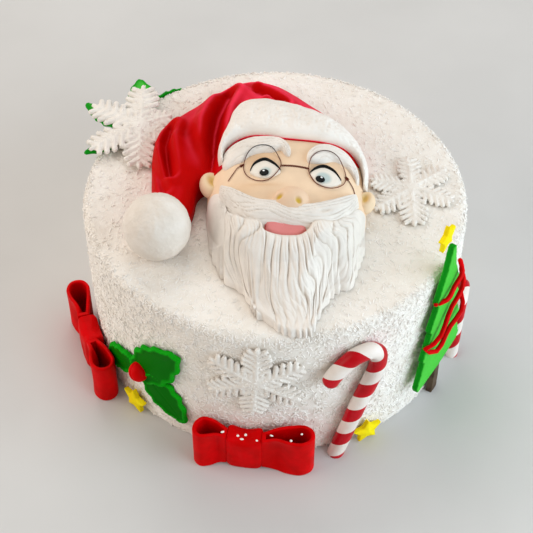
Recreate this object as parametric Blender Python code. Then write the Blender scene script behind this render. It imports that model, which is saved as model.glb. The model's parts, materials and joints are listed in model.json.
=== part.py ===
"""A round christmas cake in coconut, with sugar-paste decorations on its top and its wall.

A bearded face in a red hat lies on the top. Snowflakes, holly, stars, candy canes, a tree and
bows are set on the top and round the wall. The origin is on the cake's axis at its base, +Z is
up and the front is towards -Y. Lengths are in millimetres until build_object turns them into
metres. Angles are in degrees, and those round the wall run from the front towards +X.
"""
import math

import bmesh
import bpy
import numpy as np
from mathutils import Matrix, Vector
from mathutils.bvhtree import BVHTree

MM = 0.001
GAP = 0.3
FLAT_ENOUGH = math.radians(0.5)
ROUNDED_POWER = 2.4

# The cake
CAKE_RADIUS = 102.5
CAKE_HEIGHT = 95.0
RIM_ROUNDING = 4.5
CAKE_DENTS = 0.7
CAKE_SIDES = 56
SHRED_LENGTH, SHRED_WIDTH, SHRED_THICKNESS = 6.5, 1.6, 1.3
SHRED_SPACING = 31.0
SHRED_CLEARANCE = 5.0

# The head lies on its back on the top, and the chin points to the front
HEAD_CENTRE = (6.0, -10.0)
HEAD_HALF_WIDTH = 42.0
HEAD_TO_CROWN = 64.0
HEAD_TO_CHIN = 58.0
HEAD_THICKNESS = 27.0
HEAD_OUTLINE_POWER = 2.5
HEAD_FLATNESS = 2.8
HEAD_SHOULDER = 2.2

# Pieces of the face, seen from above
NOSE_CENTRE, NOSE_HEIGHT, NOSE_RADII = (7.8, -35.6), 27.0, (9.2, 8.2, 7.6)
EYE_LEFT_LINES = (
    [(-13.1, -14.2), (-9.2, -17.4), (-5.0, -18.5), (-0.7, -17.2), (2.6, -14.7)],
    [(-13.1, -13.0), (-11.1, -8.6), (-5.6, -5.7), (-0.7, -9.1), (2.6, -13.6)])
EYE_RIGHT_LINES = (
    [(17.7, -16.6), (21.5, -22.0), (26.9, -23.3), (31.2, -21.1), (33.8, -18.4)],
    [(17.7, -15.4), (20.5, -12.3), (24.9, -10.0), (30.3, -12.1), (33.8, -17.2)])
EYE_THICKNESS = 1.1
LID_WIDTH, LID_THICKNESS = 1.6, 1.5
PUPIL_LEFT, PUPIL_RIGHT = (-5.9, -15.6), (22.9, -20.0)
PUPIL_RADIUS, PUPIL_THICKNESS = 2.4, 0.5
BROW_LEFT_LINES = (
    [(-27.4, -7.0), (-21.5, -4.8), (-17.0, -4.0), (-13.8, -0.8), (-7.4, 1.2), (-1.3, 1.2),
     (2.4, 2.4), (5.6, -3.2)],
    [(-28.4, 3.5), (-26.6, 8.0), (-21.5, 12.2), (-14.5, 13.8), (-5.0, 13.6), (3.2, 11.4),
     (7.6, 5.0), (8.6, -1.4)])
BROW_RIGHT_LINES = (
    [(18.4, -7.4), (24.3, -6.0), (31.4, -3.2), (36.4, -4.6), (40.0, -8.4), (42.4, -14.0)],
    [(15.7, -6.0), (17.3, 1.6), (22.2, 7.2), (29.3, 8.6), (37.4, 6.4), (43.0, 0.0), (44.4, -9.0)])
BROW_THICKNESS = 3.4
MOUTH_LINES = (
    [(-5.6, -51.0), (0.9, -54.2), (6.2, -54.8), (12.0, -54.0), (15.2, -51.0)],
    [(-5.6, -47.0), (0.9, -46.0), (6.5, -46.6), (11.0, -47.4), (15.2, -48.4)])
MOUTH_THICKNESS = 2.0
MOUSTACHE_LINES = (
    [(-29.0, -16.6), (-20.0, -24.6), (-13.9, -30.2), (-7.9, -34.0), (-0.8, -35.7), (8.4, -37.4),
     (18.7, -36.9), (27.8, -33.0), (35.8, -27.7), (42.4, -22.4)],
    [(-29.6, -26.0), (-23.4, -39.4), (-17.0, -46.0), (-9.0, -49.0), (0.9, -48.6), (11.0, -50.2),
     (21.4, -50.8), (30.3, -47.2), (36.2, -40.1), (43.0, -27.4)])
MOUSTACHE_THICKNESS = 6.0
BEARD_ROOT = [(-37.0, -16.8), (-33.4, -17.4), (-30.8, -20.4), (-30.0, -27.6), (-25.0, -37.4),
              (-15.6, -45.0), (-7.2, -48.6), (-6.4, -51.8), (-0.4, -55.2), (6.2, -56.0),
              (12.8, -55.2), (16.6, -51.8), (18.4, -48.6), (28.4, -45.2), (36.6, -36.6),
              (42.4, -29.0), (47.0, -25.8)]
BEARD_TIPS = [(-34.0, -46.0), (-31.8, -54.0), (-28.0, -61.6), (-22.8, -68.4), (-17.6, -73.4),
              (-14.2, -80.0), (-11.0, -87.0), (-3.4, -94.6), (4.0, -100.4), (11.0, -101.8),
              (16.6, -100.6), (19.6, -93.6), (22.2, -87.0), (26.4, -79.4), (31.4, -73.0),
              (37.4, -70.2), (42.4, -58.6), (46.4, -45.0)]
BEARD_THICKNESS = 4.2
BEARD_STRANDS = 17
BEARD_STRAND_DEPTH = 0.9
EARS = {
    "ear_left": ((-33.6, -7.2, 10.5), (6.2, 8.4, 6.0), 14.0),
    "ear_right": ((47.2, -18.4, 9.0), (4.9, 6.6, 5.6), -16.0)}
EAR_DIMPLE = 2.6

# The hat, its white brim and the pompom
BRIM_OUTER = [(-29.6, 0.0, 18.0), (-30.4, 8.0, 18.0), (-28.2, 18.0, 20.0), (-25.0, 28.0, 21.0),
              (-22.6, 38.0, 21.0), (-17.6, 45.2, 21.5), (-8.4, 47.2, 22.0), (3.0, 44.4, 22.5),
              (17.0, 38.6, 22.5), (30.0, 30.6, 21.5), (40.0, 24.4, 16.0), (46.6, 15.6, 11.0),
              (49.6, 4.0, 8.5), (49.0, -5.0, 9.0), (47.8, -12.0, 10.5)]
BRIM_INNER = [(-27.4, -0.6, 22.0), (-27.4, 5.6, 22.0), (-26.0, 10.0, 23.4), (-20.8, 14.4, 25.4),
              (-14.3, 16.0, 27.0), (-5.0, 14.8, 28.4), (4.3, 12.2, 28.8), (13.6, 10.8, 28.8),
              (24.7, 10.4, 27.4), (32.4, 10.4, 25.0), (39.6, 8.8, 20.4), (44.6, 4.0, 16.4),
              (46.2, -3.6, 13.6), (45.8, -11.0, 13.8)]
BRIM_THICKNESS = 7.0
HAT_OUTER = [(44.6, 13.0), (41.4, 29.4), (32.0, 47.0), (19.4, 63.5), (10.4, 74.0), (1.0, 81.6),
             (-8.6, 85.0), (-17.7, 84.0), (-26.9, 78.4), (-36.0, 71.0), (-45.0, 62.8),
             (-54.6, 51.6), (-62.2, 42.4), (-66.0, 32.0), (-67.0, 20.0), (-66.4, 6.0),
             (-65.8, -8.0), (-66.4, -24.0)]
HAT_INNER = [(43.4, 2.6), (38.4, 7.6), (31.6, 9.4), (23.4, 9.6), (13.0, 10.2), (4.0, 11.4),
             (-5.0, 14.0), (-14.0, 15.2), (-20.0, 13.6), (-25.0, 9.6), (-26.6, 4.0),
             (-28.0, -3.0), (-33.6, -3.6), (-39.2, -5.6), (-41.8, -11.0), (-42.4, -17.0),
             (-43.6, -23.0), (-46.4, -31.0)]
HAT_CLOTH = 1.3
HAT_HEIGHT = 21.0
HAT_END_HEIGHT = 15.0
HAT_UNDER_BRIM = 2.6
HAT_FOLDS = ((0.36, 0.035, 5.0), (0.47, 0.030, 4.0), (0.60, 0.025, 3.0), (0.66, 0.02, 2.2))
POMPOM_CENTRE, POMPOM_RADIUS, POMPOM_HEIGHT = (-60.0, -42.0), 17.2, 15.6

# Spectacles of thin wire
WIRE_RADIUS = 0.42
RING_STATIONS, WIRE_REACH = 18, 1.6
WIRE_TILTS = np.linspace(-0.4, 0.4, 17)
LENS_LEFT, LENS_RIGHT = (-6.8, -8.2), (26.8, -12.2)
LENS_HALF_WIDTH, LENS_HALF_HEIGHT = 9.7, 12.0
TEMPLE_LEFT = [(-20.4, -9.6), (-24.4, -16.4)]
TEMPLE_RIGHT = [(38.8, -18.6), (41.0, -22.8)]

# Snowflakes: each arm is (direction, length) round the flake's middle
FLAKE_THICKNESS = 3.2
FLAKE_HUB, FLAKE_SHORT_ARM = 4.2, 21.0
FLAKE_LEFT_PLACE, FLAKE_LEFT_RISE, FLAKE_LEFT_FLAT = (-74.8, 47.7), 3.2, (68.0, 90.0)
FLAKE_LEFT_ARMS = [(91, 34.0), (149, 33.5), (217, 33.5), (272, 33.0), (331, 16.5), (29, 19.5)]
FLAKE_RIGHT_PLACE = (73.0, 0.5)
FLAKE_RIGHT_ARMS = [(91, 24.5), (163, 23.0), (218, 26.5), (269, 28.0), (335, 24.0), (37, 25.0)]
FLAKE_WALL_ARMS = [(88, 27.0), (148, 27.0), (206, 27.0), (266, 27.0), (326, 27.0), (28, 27.0)]
FLAKES_ON_WALL = {"snowflake_front": (-5.5, 62.4, 5), "snowflake_back": (148.0, 58.0, 4)}

# Holly: each leaf is (base, tip, half width) from the berries
LEAF_THICKNESS = 1.8
LEAF_WAVE = 0.5
LEAF_SPINES = 4
HOLLY_ANGLE, HOLLY_HEIGHT = -45.0, 31.0
HOLLY_FRONT = {
    "holly_front_leaf_1": ((-0.5, 9.0), (-27.6, -9.1), 10.0),
    "holly_front_leaf_2": ((1.0, 3.0), (29.0, 37.5), 13.0),
    "holly_front_leaf_3": ((8.0, 9.5), (31.0, -18.2), 12.0)}
BERRY_PLACE, BERRY_RADIUS, BERRY_LIFT = (4.5, 8.0), 5.6, 3.6
HOLLY_BACK = {
    "holly_back_leaf_1": ((-74.4, 62.0), (-77.8, 90.0), 8.4),
    "holly_back_leaf_2": ((-84.6, 50.6), (-107.0, 69.0), 6.4),
    "holly_back_leaf_3": ((-84.0, 41.6), (-104.4, 28.2), 4.8)}
HOLLY_BEHIND_ANGLE, HOLLY_BEHIND_HEIGHT = -143.3, 88.8
HOLLY_BEHIND = {"holly_back_leaf_4": ((-12.0, -1.0), (12.0, 1.0), 6.0)}

# Stars: (angle, height of the middle, space behind)
STAR_RADIUS, STAR_THICKNESS = 8.6, 4.0
STARS_ON_WALL = {
    "star_left": (-46.3, 7.4, 1.4),
    "star_right": (27.8, 7.4, 1.2),
    "star_back": (112.0, 7.4, 1.0)}

# Candy canes, as points (angle, height) on the wall
CANE_FRONT_RADIUS, CANE_FAR_RADIUS = 4.4, 3.6
CANE_FRONT = [(17.5, 0.0), (21.6, 26.3), (24.0, 41.0), (26.3, 52.7), (28.2, 63.5), (28.7, 70.2),
              (27.8, 76.8), (25.4, 79.8), (22.2, 79.4), (18.8, 74.9), (16.2, 69.5), (14.8, 64.9)]
CANE_FAR = [(70.8, 0.0), (71.4, 14.0), (71.7, 26.0), (72.8, 35.0), (75.8, 40.4), (79.6, 40.0),
            (82.0, 34.6), (82.4, 28.0)]

# The tree is a flat slab that stands up against the wall
TREE_FACING = 58.0
TREE_AXIS = -4.3
TREE_BACK = 1.3
TREE_THICKNESS = 4.0
TREE_TIERS = [(22.0, 23.0), (26.0, 24.4), (43.0, 19.0), (46.0, 21.4), (62.0, 14.4), (66.0, 17.0),
              (79.0, 10.0), (83.0, 12.4), (100.0, 5.0), (116.0, 1.4)]
TRUNK_HALF_WIDTH, TRUNK_THICKNESS, TRUNK_TOP = 3.4, 3.6, 21.7
TREE_STAR, TREE_STAR_BEHIND = (-7.6, 123.0), 2.0
TREE_STAR_RADIUS, TREE_STAR_THICKNESS = 8.2, 3.6
GARLAND_RADIUS = 1.5
GARLAND_OVER, GARLAND_ROUND = 6.0, 2.2
GARLANDS = {
    "garland_top": [(-16.6, 83.4, 0), (-12.0, 84.8, 1), (-4.0, 87.6, 1), (4.0, 91.0, 1),
                    (8.6, 93.4, 0)],
    "garland_low": [(12.0, 84.0, 0), (8.0, 81.4, 1), (-4.9, 70.2, 1), (-18.4, 57.8, 1),
                    (-23.4, 53.6, 0), (-18.6, 49.6, 1), (-2.0, 52.4, 1), (13.4, 56.8, 1),
                    (18.2, 58.8, 0)]}

# Bows stand on their edges: (angle of the knot, left loop, right loop, space behind)
BOWS = {
    "bow_front": (-8.4, 15.4, 24.3, 0.4),
    "bow_left": (-70.6, 22.0, 22.0, 0.6),
    "bow_back": (178.0, 22.5, 22.5, 0.4)}
BOW_HEIGHT = 28.0
BOW_DEPTH = 15.2
RIBBON_THICKNESS = 1.9
KNOT_HALF_WIDTH, KNOT_DEPTH, KNOT_DIP = 9.2, 11.6, 4.6
LOOP_NARROW = 4.2

# Colour, roughness
FINISHES = {
    "coconut": ((0.93, 0.91, 0.87), 0.9),
    "white_paste": ((0.93, 0.90, 0.86), 0.6),
    "skin_paste": ((0.86, 0.66, 0.46), 0.6),
    "pink_paste": ((0.80, 0.28, 0.30), 0.55),
    "red_paste": ((0.62, 0.01, 0.02), 0.45),
    "green_paste": ((0.02, 0.32, 0.03), 0.5),
    "light_green_paste": ((0.10, 0.55, 0.08), 0.5),
    "yellow_paste": ((0.86, 0.66, 0.03), 0.6),
    "brown_paste": ((0.10, 0.07, 0.05), 0.7),
    "black_paste": ((0.01, 0.01, 0.01), 0.35),
    "wire": ((0.10, 0.05, 0.04), 0.4),
    "cane_paste": ((0.85, 0.68, 0.58), 0.35),
}


# Meshes and finishes

def make_finishes():
    made = {}
    for name, (colour, roughness) in FINISHES.items():
        material = bpy.data.materials.new(name)
        material.use_nodes = True
        shader = material.node_tree.nodes["Principled BSDF"]
        shader.inputs["Base Color"].default_value = (*colour, 1.0)
        shader.inputs["Roughness"].default_value = roughness
        made[name] = material
    return made


def build_object(name, finish, points, faces):
    """Make an object from millimetre points, with its faces pointing out."""
    mesh = bpy.data.meshes.new(name)
    mesh.from_pydata([Vector(p) * MM for p in points], [], faces)
    mesh.materials.append(MATERIALS[finish])
    shape = bmesh.new()
    shape.from_mesh(mesh)
    bmesh.ops.triangulate(shape, faces=shape.faces)
    bmesh.ops.recalc_face_normals(shape, faces=shape.faces)
    shape.to_mesh(mesh)
    shape.free()
    obj = bpy.data.objects.new(name, mesh)
    bpy.context.collection.objects.link(obj)
    return obj


def grown_copy(obj, amount):
    """A copy of a solid whose surface stands out by the amount."""
    shape = bmesh.new()
    shape.from_mesh(obj.data)
    moves = [v.normal * min(v.calc_shell_factor(), 2.0) * amount * MM for v in shape.verts]
    for vertex, move in zip(shape.verts, moves):
        vertex.co += move
    mesh = bpy.data.meshes.new("tool")
    shape.to_mesh(mesh)
    shape.free()
    tool = bpy.data.objects.new("tool", mesh)
    bpy.context.collection.objects.link(tool)
    return tool


def settle(obj):
    """Turn an object's modifiers into its mesh, without scraps or slivers."""
    bpy.context.view_layer.update()
    graph = bpy.context.evaluated_depsgraph_get()
    mesh = bpy.data.meshes.new_from_object(obj.evaluated_get(graph))
    obj.modifiers.clear()
    shape = bmesh.new()
    shape.from_mesh(mesh)
    bmesh.ops.remove_doubles(shape, verts=shape.verts, dist=0.01 * MM)
    bmesh.ops.dissolve_degenerate(shape, edges=shape.edges, dist=0.01 * MM)
    keep_largest_body(shape)
    bmesh.ops.dissolve_limit(shape, angle_limit=FLAT_ENOUGH, verts=shape.verts, edges=shape.edges)
    bmesh.ops.triangulate(shape, faces=shape.faces)
    shape.to_mesh(mesh)
    shape.free()
    obj.data = mesh


def keep_largest_body(shape):
    left = set(shape.faces)
    bodies = []
    while left:
        body, front = set(), [left.pop()]
        while front:
            face = front.pop()
            body.add(face)
            near = {f for edge in face.edges for f in edge.link_faces if f in left}
            left -= near
            front.extend(near)
        bodies.append(body)
    largest = max(bodies, key=lambda body: sum(face.calc_area() for face in body))
    scraps = [face for body in bodies if body is not largest for face in body]
    bmesh.ops.delete(shape, geom=scraps, context="FACES")
    loose = [v for v in shape.verts if not v.link_faces]
    bmesh.ops.delete(shape, geom=loose, context="VERTS")


def cut(obj, *others):
    """Take the other solids, each grown by the gap, away from this one. Slighter passes take
    what a fold in the grown copy left."""
    for other in others:
        for amount in (GAP, 0.3 * GAP, 0.1 * GAP):
            tool = grown_copy(other, amount)
            step = obj.modifiers.new("cut", "BOOLEAN")
            step.operation = "DIFFERENCE"
            step.solver = "MANIFOLD"
            step.object = tool
            settle(obj)
            bpy.data.objects.remove(tool)


def flatten_below(obj, height):
    """Cut a solid flat at a height and close it there."""
    shape = bmesh.new()
    shape.from_mesh(obj.data)
    cut_here = bmesh.ops.bisect_plane(
        shape, geom=shape.verts[:] + shape.edges[:] + shape.faces[:], plane_co=(0, 0, height * MM),
        plane_no=(0, 0, 1), clear_inner=True)["geom_cut"]
    rim = [item for item in cut_here if isinstance(item, bmesh.types.BMEdge)]
    bmesh.ops.contextual_create(shape, geom=rim)
    bmesh.ops.recalc_face_normals(shape, faces=shape.faces)
    shape.to_mesh(obj.data)
    shape.free()


def tree_of(obj):
    """A search tree over a solid's surface, in metres."""
    shape = bmesh.new()
    shape.from_mesh(obj.data)
    found = BVHTree.FromBMesh(shape)
    shape.free()
    return found


# Lines

def smooth_line(points):
    """A smooth line through points, as a function of 0 to 1 that is even along its length."""
    points = np.array(points, float)
    steps = np.linalg.norm(np.diff(points, axis=0), axis=1)
    knots = np.concatenate([[0.0], np.cumsum(steps)]) / steps.sum()
    slopes = np.gradient(points, knots, axis=0)

    def line(s):
        i = min(max(int(np.searchsorted(knots, s)) - 1, 0), len(points) - 2)
        width = knots[i + 1] - knots[i]
        f = (s - knots[i]) / width
        ends = (1 + 2 * f) * (1 - f) ** 2 * points[i] + f * f * (3 - 2 * f) * points[i + 1]
        bends = f * (1 - f) ** 2 * slopes[i] - f * f * (1 - f) * slopes[i + 1]
        return ends + bends * width
    return line


def broken_line(points):
    """Straight runs between points, as a function of 0 to 1 that is even over the runs."""
    points = np.array(points, float)

    def line(s):
        place = s * (len(points) - 1)
        i = min(int(place), len(points) - 2)
        return points[i] + (points[i + 1] - points[i]) * (place - i)
    return line


# Places: each turns two plan values and a height into a point

def on_top(x, y, z):
    return (x, y, CAKE_HEIGHT + GAP + z)


def on_wall(angle, height):
    """Flat on the wall: u along it, v up it and w out from it."""
    def place(u, v, w):
        turn = math.radians(angle) + u / CAKE_RADIUS
        out = CAKE_RADIUS + GAP + w
        return (out * math.sin(turn), -out * math.cos(turn), height + v)
    return place


def around(middle, rise=0.0, flat=(0.0, 1.0)):
    """On the top round a middle. It rises from the cake's inner radius to its outer one."""
    def place(u, v, w):
        x, y = middle[0] + u, middle[1] + v
        share = (math.hypot(x, y) - flat[0]) / (flat[1] - flat[0])
        return on_top(x, y, rise * min(max(share, 0.0), 1.0) + w)
    return place


def against_wall(angle):
    """Standing by the wall: u along it, w out from it and z up."""
    flat = on_wall(angle, 0.0)

    def place(u, w, z):
        return flat(u, z, w)
    return place


def on_tree_plane(u, v, w):
    """On the upright plane that the tree stands in."""
    facing = math.radians(TREE_FACING)
    out = CAKE_RADIUS + TREE_BACK + w
    x = out * math.sin(facing) + u * math.cos(facing)
    y = -out * math.cos(facing) + u * math.sin(facing)
    return (x, y, v)


# Solids

def patch(name, finish, near, far, along, across, top, bottom, place):
    """A solid between two lines. The top is a height over each point, and so is the bottom,
    unless it is one number for a flat face."""
    rows = []
    for i in range(along + 1):
        start, end = near(i / along), far(i / along)
        rows.append([start + (end - start) * j / across for j in range(across + 1)])
    points, faces = [], []

    def layer(height):
        first = len(points)
        for i, row in enumerate(rows):
            for j, (x, y) in enumerate(row):
                points.append(place(x, y, height(i / along, j / across, x, y)))
        return [[first + i * (across + 1) + j for j in range(across + 1)]
                for i in range(along + 1)]

    def skin(grid):
        for i in range(along):
            for j in range(across):
                faces.append([grid[i][j], grid[i + 1][j], grid[i + 1][j + 1], grid[i][j + 1]])

    edge = [(i, 0) for i in range(along)] + [(along, j) for j in range(across)]
    edge += [(i, across) for i in range(along, 0, -1)] + [(0, j) for j in range(across, 0, -1)]
    upper = layer(top)
    skin(upper)
    if callable(bottom):
        lower = layer(bottom)
        skin(lower)
        below = [lower[i][j] for i, j in edge]
    else:
        below = []
        for i, j in edge:
            below.append(len(points))
            points.append(place(*rows[i][j], bottom))
        faces.append(below)
    above = [upper[i][j] for i, j in edge]
    for k in range(len(edge)):
        following = (k + 1) % len(edge)
        faces.append([above[k], above[following], below[following], below[k]])
    return build_object(name, finish, points, faces)


def sweep(name, finish, centres, radius, sides, closed=False):
    """A round tube along points, with domed ends unless it is closed on itself."""
    centres = [Vector(c) for c in centres]
    count = len(centres)
    points, faces, rings = [], [], []
    normal = None
    for i, centre in enumerate(centres):
        after = centres[(i + 1) % count] if closed else centres[min(i + 1, count - 1)]
        before = centres[i - 1] if closed or i else centres[0]
        ahead = (after - before).normalized()
        if normal is None:
            normal = ahead.orthogonal()
        normal = (normal - ahead * normal.dot(ahead)).normalized()
        other = ahead.cross(normal)
        shapes = [(0.0, 1.0)]
        if not closed and i == 0:
            shapes = [(-0.75, 0.6), (0.0, 1.0)]
        if not closed and i == count - 1:
            shapes = [(0.0, 1.0), (0.75, 0.6)]
        for shift, scale in shapes:
            ring = []
            for k in range(sides):
                turn = 2 * math.pi * k / sides
                out = normal * math.cos(turn) + other * math.sin(turn)
                ring.append(len(points))
                points.append(centre + out * radius * scale + ahead * radius * shift)
            rings.append(ring)
    pairs = list(zip(rings, rings[1:]))
    if closed:
        pairs.append((rings[-1], rings[0]))
    for ring, following in pairs:
        for k in range(sides):
            n = (k + 1) % sides
            faces.append([ring[k], ring[n], following[n], following[k]])
    if not closed:
        faces.append(rings[0])
        faces.append(rings[-1])
    return build_object(name, finish, points, faces)


def ball(name, finish, centre, radii, segments, rings, turn=0.0):
    """An ellipsoid, turned about its upright axis."""
    shape = bmesh.new()
    bmesh.ops.create_uvsphere(shape, u_segments=segments, v_segments=rings, radius=1.0)
    turned = Matrix.Rotation(math.radians(turn), 4, "Z") @ Matrix.Diagonal((*radii, 1.0))
    points = [turned @ v.co + Vector(centre) for v in shape.verts]
    faces = [[v.index for v in face.verts] for face in shape.faces]
    shape.free()
    return build_object(name, finish, points, faces)


# The cake

def cake_body():
    """The coated cake: a drum with a soft rim, dented a little all over."""
    draw = np.random.default_rng(12)
    profile = [(CAKE_RADIUS - 1.2, 0.0, 0), (CAKE_RADIUS, 1.2, 0)]
    profile += [(CAKE_RADIUS, height, 0) for height in (22.0, 44.0, 66.0)]
    for slant in (0, 30, 60, 90):
        turn = math.radians(slant)
        profile.append((CAKE_RADIUS - RIM_ROUNDING * (1 - math.cos(turn)),
                        CAKE_HEIGHT - RIM_ROUNDING * (1 - math.sin(turn)), slant))
    profile += [(radius, CAKE_HEIGHT, 90) for radius in (72.0, 44.0, 16.0)]
    points, faces = [], []
    for ring, (radius, height, slant) in enumerate(profile):
        for side in range(CAKE_SIDES):
            turn = 2 * math.pi * side / CAKE_SIDES
            dent = CAKE_DENTS * draw.random() if ring > 1 else 0.0
            out = radius - dent * math.cos(math.radians(slant))
            up = height - dent * math.sin(math.radians(slant))
            points.append((out * math.sin(turn), -out * math.cos(turn), up))
    last = (len(profile) - 1) * CAKE_SIDES
    points.append((0.0, 0.0, CAKE_HEIGHT))
    for side in range(CAKE_SIDES):
        n = (side + 1) % CAKE_SIDES
        for low in range(0, last, CAKE_SIDES):
            high = low + CAKE_SIDES
            faces.append([low + side, low + n, high + n, high + side])
        faces.append([last + side, last + n, len(points) - 1])
    faces.append(list(range(CAKE_SIDES)))
    return build_object("cake", "coconut", points, faces)


def shred_places():
    """Even places over the top and the wall, each with its outward direction."""
    golden = math.radians(137.508)
    count = int((CAKE_RADIUS / SHRED_SPACING) ** 2 * math.pi)
    for k in range(count):
        out = (CAKE_RADIUS - RIM_ROUNDING) * math.sqrt((k + 0.5) / count)
        turn = golden * k
        yield (out * math.cos(turn), out * math.sin(turn), CAKE_HEIGHT - 0.3), (0, 0, 1)
    rows = int((CAKE_HEIGHT - RIM_ROUNDING) / SHRED_SPACING)
    round_wall = int(2 * math.pi * CAKE_RADIUS / SHRED_SPACING)
    for row in range(rows):
        for k in range(round_wall):
            turn = 2 * math.pi * (k + 0.5 * (row % 2)) / round_wall
            aside = (math.sin(turn), -math.cos(turn), 0.0)
            height = (row + 0.6) * SHRED_SPACING
            yield (aside[0] * (CAKE_RADIUS - 0.3), aside[1] * (CAKE_RADIUS - 0.3), height), aside


def coconut_shreds(decorations):
    """Strips of coconut on the cake, kept clear of the decorations."""
    draw = np.random.default_rng(5)
    surfaces = [tree_of(obj) for obj in decorations]
    holder = bpy.data.collections.new("shreds")
    bpy.context.scene.collection.children.link(holder)
    for place, outward in shred_places():
        turn, bend, size = draw.random() * math.pi, draw.uniform(0.4, 1.0), draw.uniform(0.75, 1.15)
        spot = Vector(place)
        near = [tree.find_nearest(spot * MM, SHRED_CLEARANCE * MM)[0] for tree in surfaces]
        if any(hit is not None for hit in near):
            continue
        outward = Vector(outward)
        side = outward.orthogonal().normalized()
        along = side * math.cos(turn) + outward.cross(side) * math.sin(turn)
        across = outward.cross(along)
        points = []
        for end, lift in ((-0.5, bend), (0.0, 0.0), (0.5, bend)):
            middle = spot + along * end * SHRED_LENGTH * size + outward * lift * 0.8
            for u, w in ((-0.5, -0.5), (0.5, -0.5), (0.5, 0.5), (-0.5, 0.5)):
                points.append(middle + across * u * SHRED_WIDTH + outward * w * SHRED_THICKNESS)
        faces = [[0, 1, 2, 3], [8, 9, 10, 11]]
        for start in (0, 4):
            faces += [[start + k, start + (k + 1) % 4, start + 4 + (k + 1) % 4, start + 4 + k]
                      for k in range(4)]
        shred = build_object("shred", "coconut", points, faces)
        bpy.context.collection.objects.unlink(shred)
        holder.objects.link(shred)
    return holder


def coat_with_coconut(cake, decorations):
    holder = coconut_shreds(decorations)
    join = cake.modifiers.new("coconut", "BOOLEAN")
    join.operation = "UNION"
    join.operand_type = "COLLECTION"
    join.collection = holder
    settle(cake)
    for shred in list(holder.objects):
        bpy.data.objects.remove(shred)
    bpy.data.collections.remove(holder)


# The face

def head_height(x, y):
    """How high the bare head stands over the cake's top at a point."""
    across = abs(x - HEAD_CENTRE[0]) / HEAD_HALF_WIDTH
    reach = HEAD_TO_CROWN if y > HEAD_CENTRE[1] else HEAD_TO_CHIN
    down = abs(y - HEAD_CENTRE[1]) / reach
    power = HEAD_OUTLINE_POWER
    out = min((across ** power + down ** power) ** (1 / power), 1.0)
    return HEAD_THICKNESS * (1 - out ** HEAD_FLATNESS) ** (1 / HEAD_SHOULDER)


def head(sides=32, rings=6):
    points, faces = [], []
    power = HEAD_OUTLINE_POWER
    for ring in range(rings):
        slant = 0.5 * math.pi * (1 - ring / rings)
        out = math.sin(slant) ** (2 / HEAD_FLATNESS)
        for side in range(sides):
            turn = 2 * math.pi * side / sides
            c, s = math.cos(turn), math.sin(turn)
            reach = out / (abs(c) ** power + abs(s) ** power) ** (1 / power)
            x = HEAD_CENTRE[0] + HEAD_HALF_WIDTH * c * reach
            y = HEAD_CENTRE[1] + (HEAD_TO_CROWN if s > 0 else HEAD_TO_CHIN) * s * reach
            z = HEAD_THICKNESS * math.cos(slant) ** (2 / HEAD_SHOULDER)
            points.append(on_top(x, y, z))
    for ring in range(rings - 1):
        for side in range(sides):
            n = (side + 1) % sides
            low, high = ring * sides, (ring + 1) * sides
            faces.append([low + side, low + n, high + n, high + side])
    faces.append(list(range(sides)))
    points.append(on_top(*HEAD_CENTRE, HEAD_THICKNESS))
    last = (rings - 1) * sides
    for side in range(sides):
        faces.append([last + side, last + (side + 1) % sides, len(points) - 1])
    return build_object("head", "skin_paste", points, faces)


def on_face(name, finish, lines, along, across, lift, top):
    """A thin piece that lies on the head and follows it."""
    near, far = smooth_line(lines[0]), smooth_line(lines[1])
    return patch(name, finish, near, far, along, across,
                 lambda s, t, x, y: head_height(x, y) + lift + top(s, t),
                 lambda s, t, x, y: head_height(x, y) + lift, on_top)


def ear(name, head_piece):
    middle, radii, turn = EARS[name]
    piece = ball(name, "skin_paste", on_top(*middle), radii, 14, 8, turn)
    middle = Vector(on_top(*middle)) * MM
    for vertex in piece.data.vertices:
        aside = ((vertex.co - middle) / MM).to_2d().length
        if vertex.co.z > middle.z and aside < 0.5 * radii[0]:
            vertex.co.z -= EAR_DIMPLE * MM
    cut(piece, head_piece)
    return piece


def pupil(name, centre):
    points, faces = [], []
    sides = 10
    for lift in (0.0, PUPIL_THICKNESS):
        for side in range(sides):
            turn = 2 * math.pi * side / sides
            x = centre[0] + PUPIL_RADIUS * math.cos(turn)
            y = centre[1] + PUPIL_RADIUS * math.sin(turn)
            points.append(on_top(x, y, head_height(x, y) + 2 * GAP + EYE_THICKNESS + lift))
    faces = [list(range(sides)), list(range(sides, 2 * sides))]
    faces += [[k, (k + 1) % sides, sides + (k + 1) % sides, sides + k] for k in range(sides)]
    return build_object(name, "black_paste", points, faces)


def eye_pieces():
    made = []
    for side, lines in (("left", EYE_LEFT_LINES), ("right", EYE_RIGHT_LINES)):
        eye = on_face("eye_" + side, "white_paste", lines, 6, 2, GAP, lambda s, t: EYE_THICKNESS)
        above = [(x, y + LID_WIDTH) for x, y in lines[1]]
        lid = on_face("lid_" + side, "black_paste", (lines[1], above), 6, 1, GAP,
                      lambda s, t: LID_THICKNESS)
        cut(lid, eye)
        made += [eye, lid]
    made.append(pupil("pupil_left", PUPIL_LEFT))
    made.append(pupil("pupil_right", PUPIL_RIGHT))
    return made


def rounded(t):
    """A rounded rise and fall from 0 to 1 and back."""
    return math.sqrt(max(1 - abs(2 * t - 1) ** ROUNDED_POWER, 0.0))


def brow(name, lines):
    def top(s, t):
        strand = 0.35 * math.cos(4 * 2 * math.pi * t)
        return 0.9 + (BROW_THICKNESS - 0.9) * rounded(t) * (0.55 + 0.45 * rounded(s)) + strand * rounded(t)
    return on_face(name, "white_paste", lines, 10, 4, GAP, top)


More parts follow.
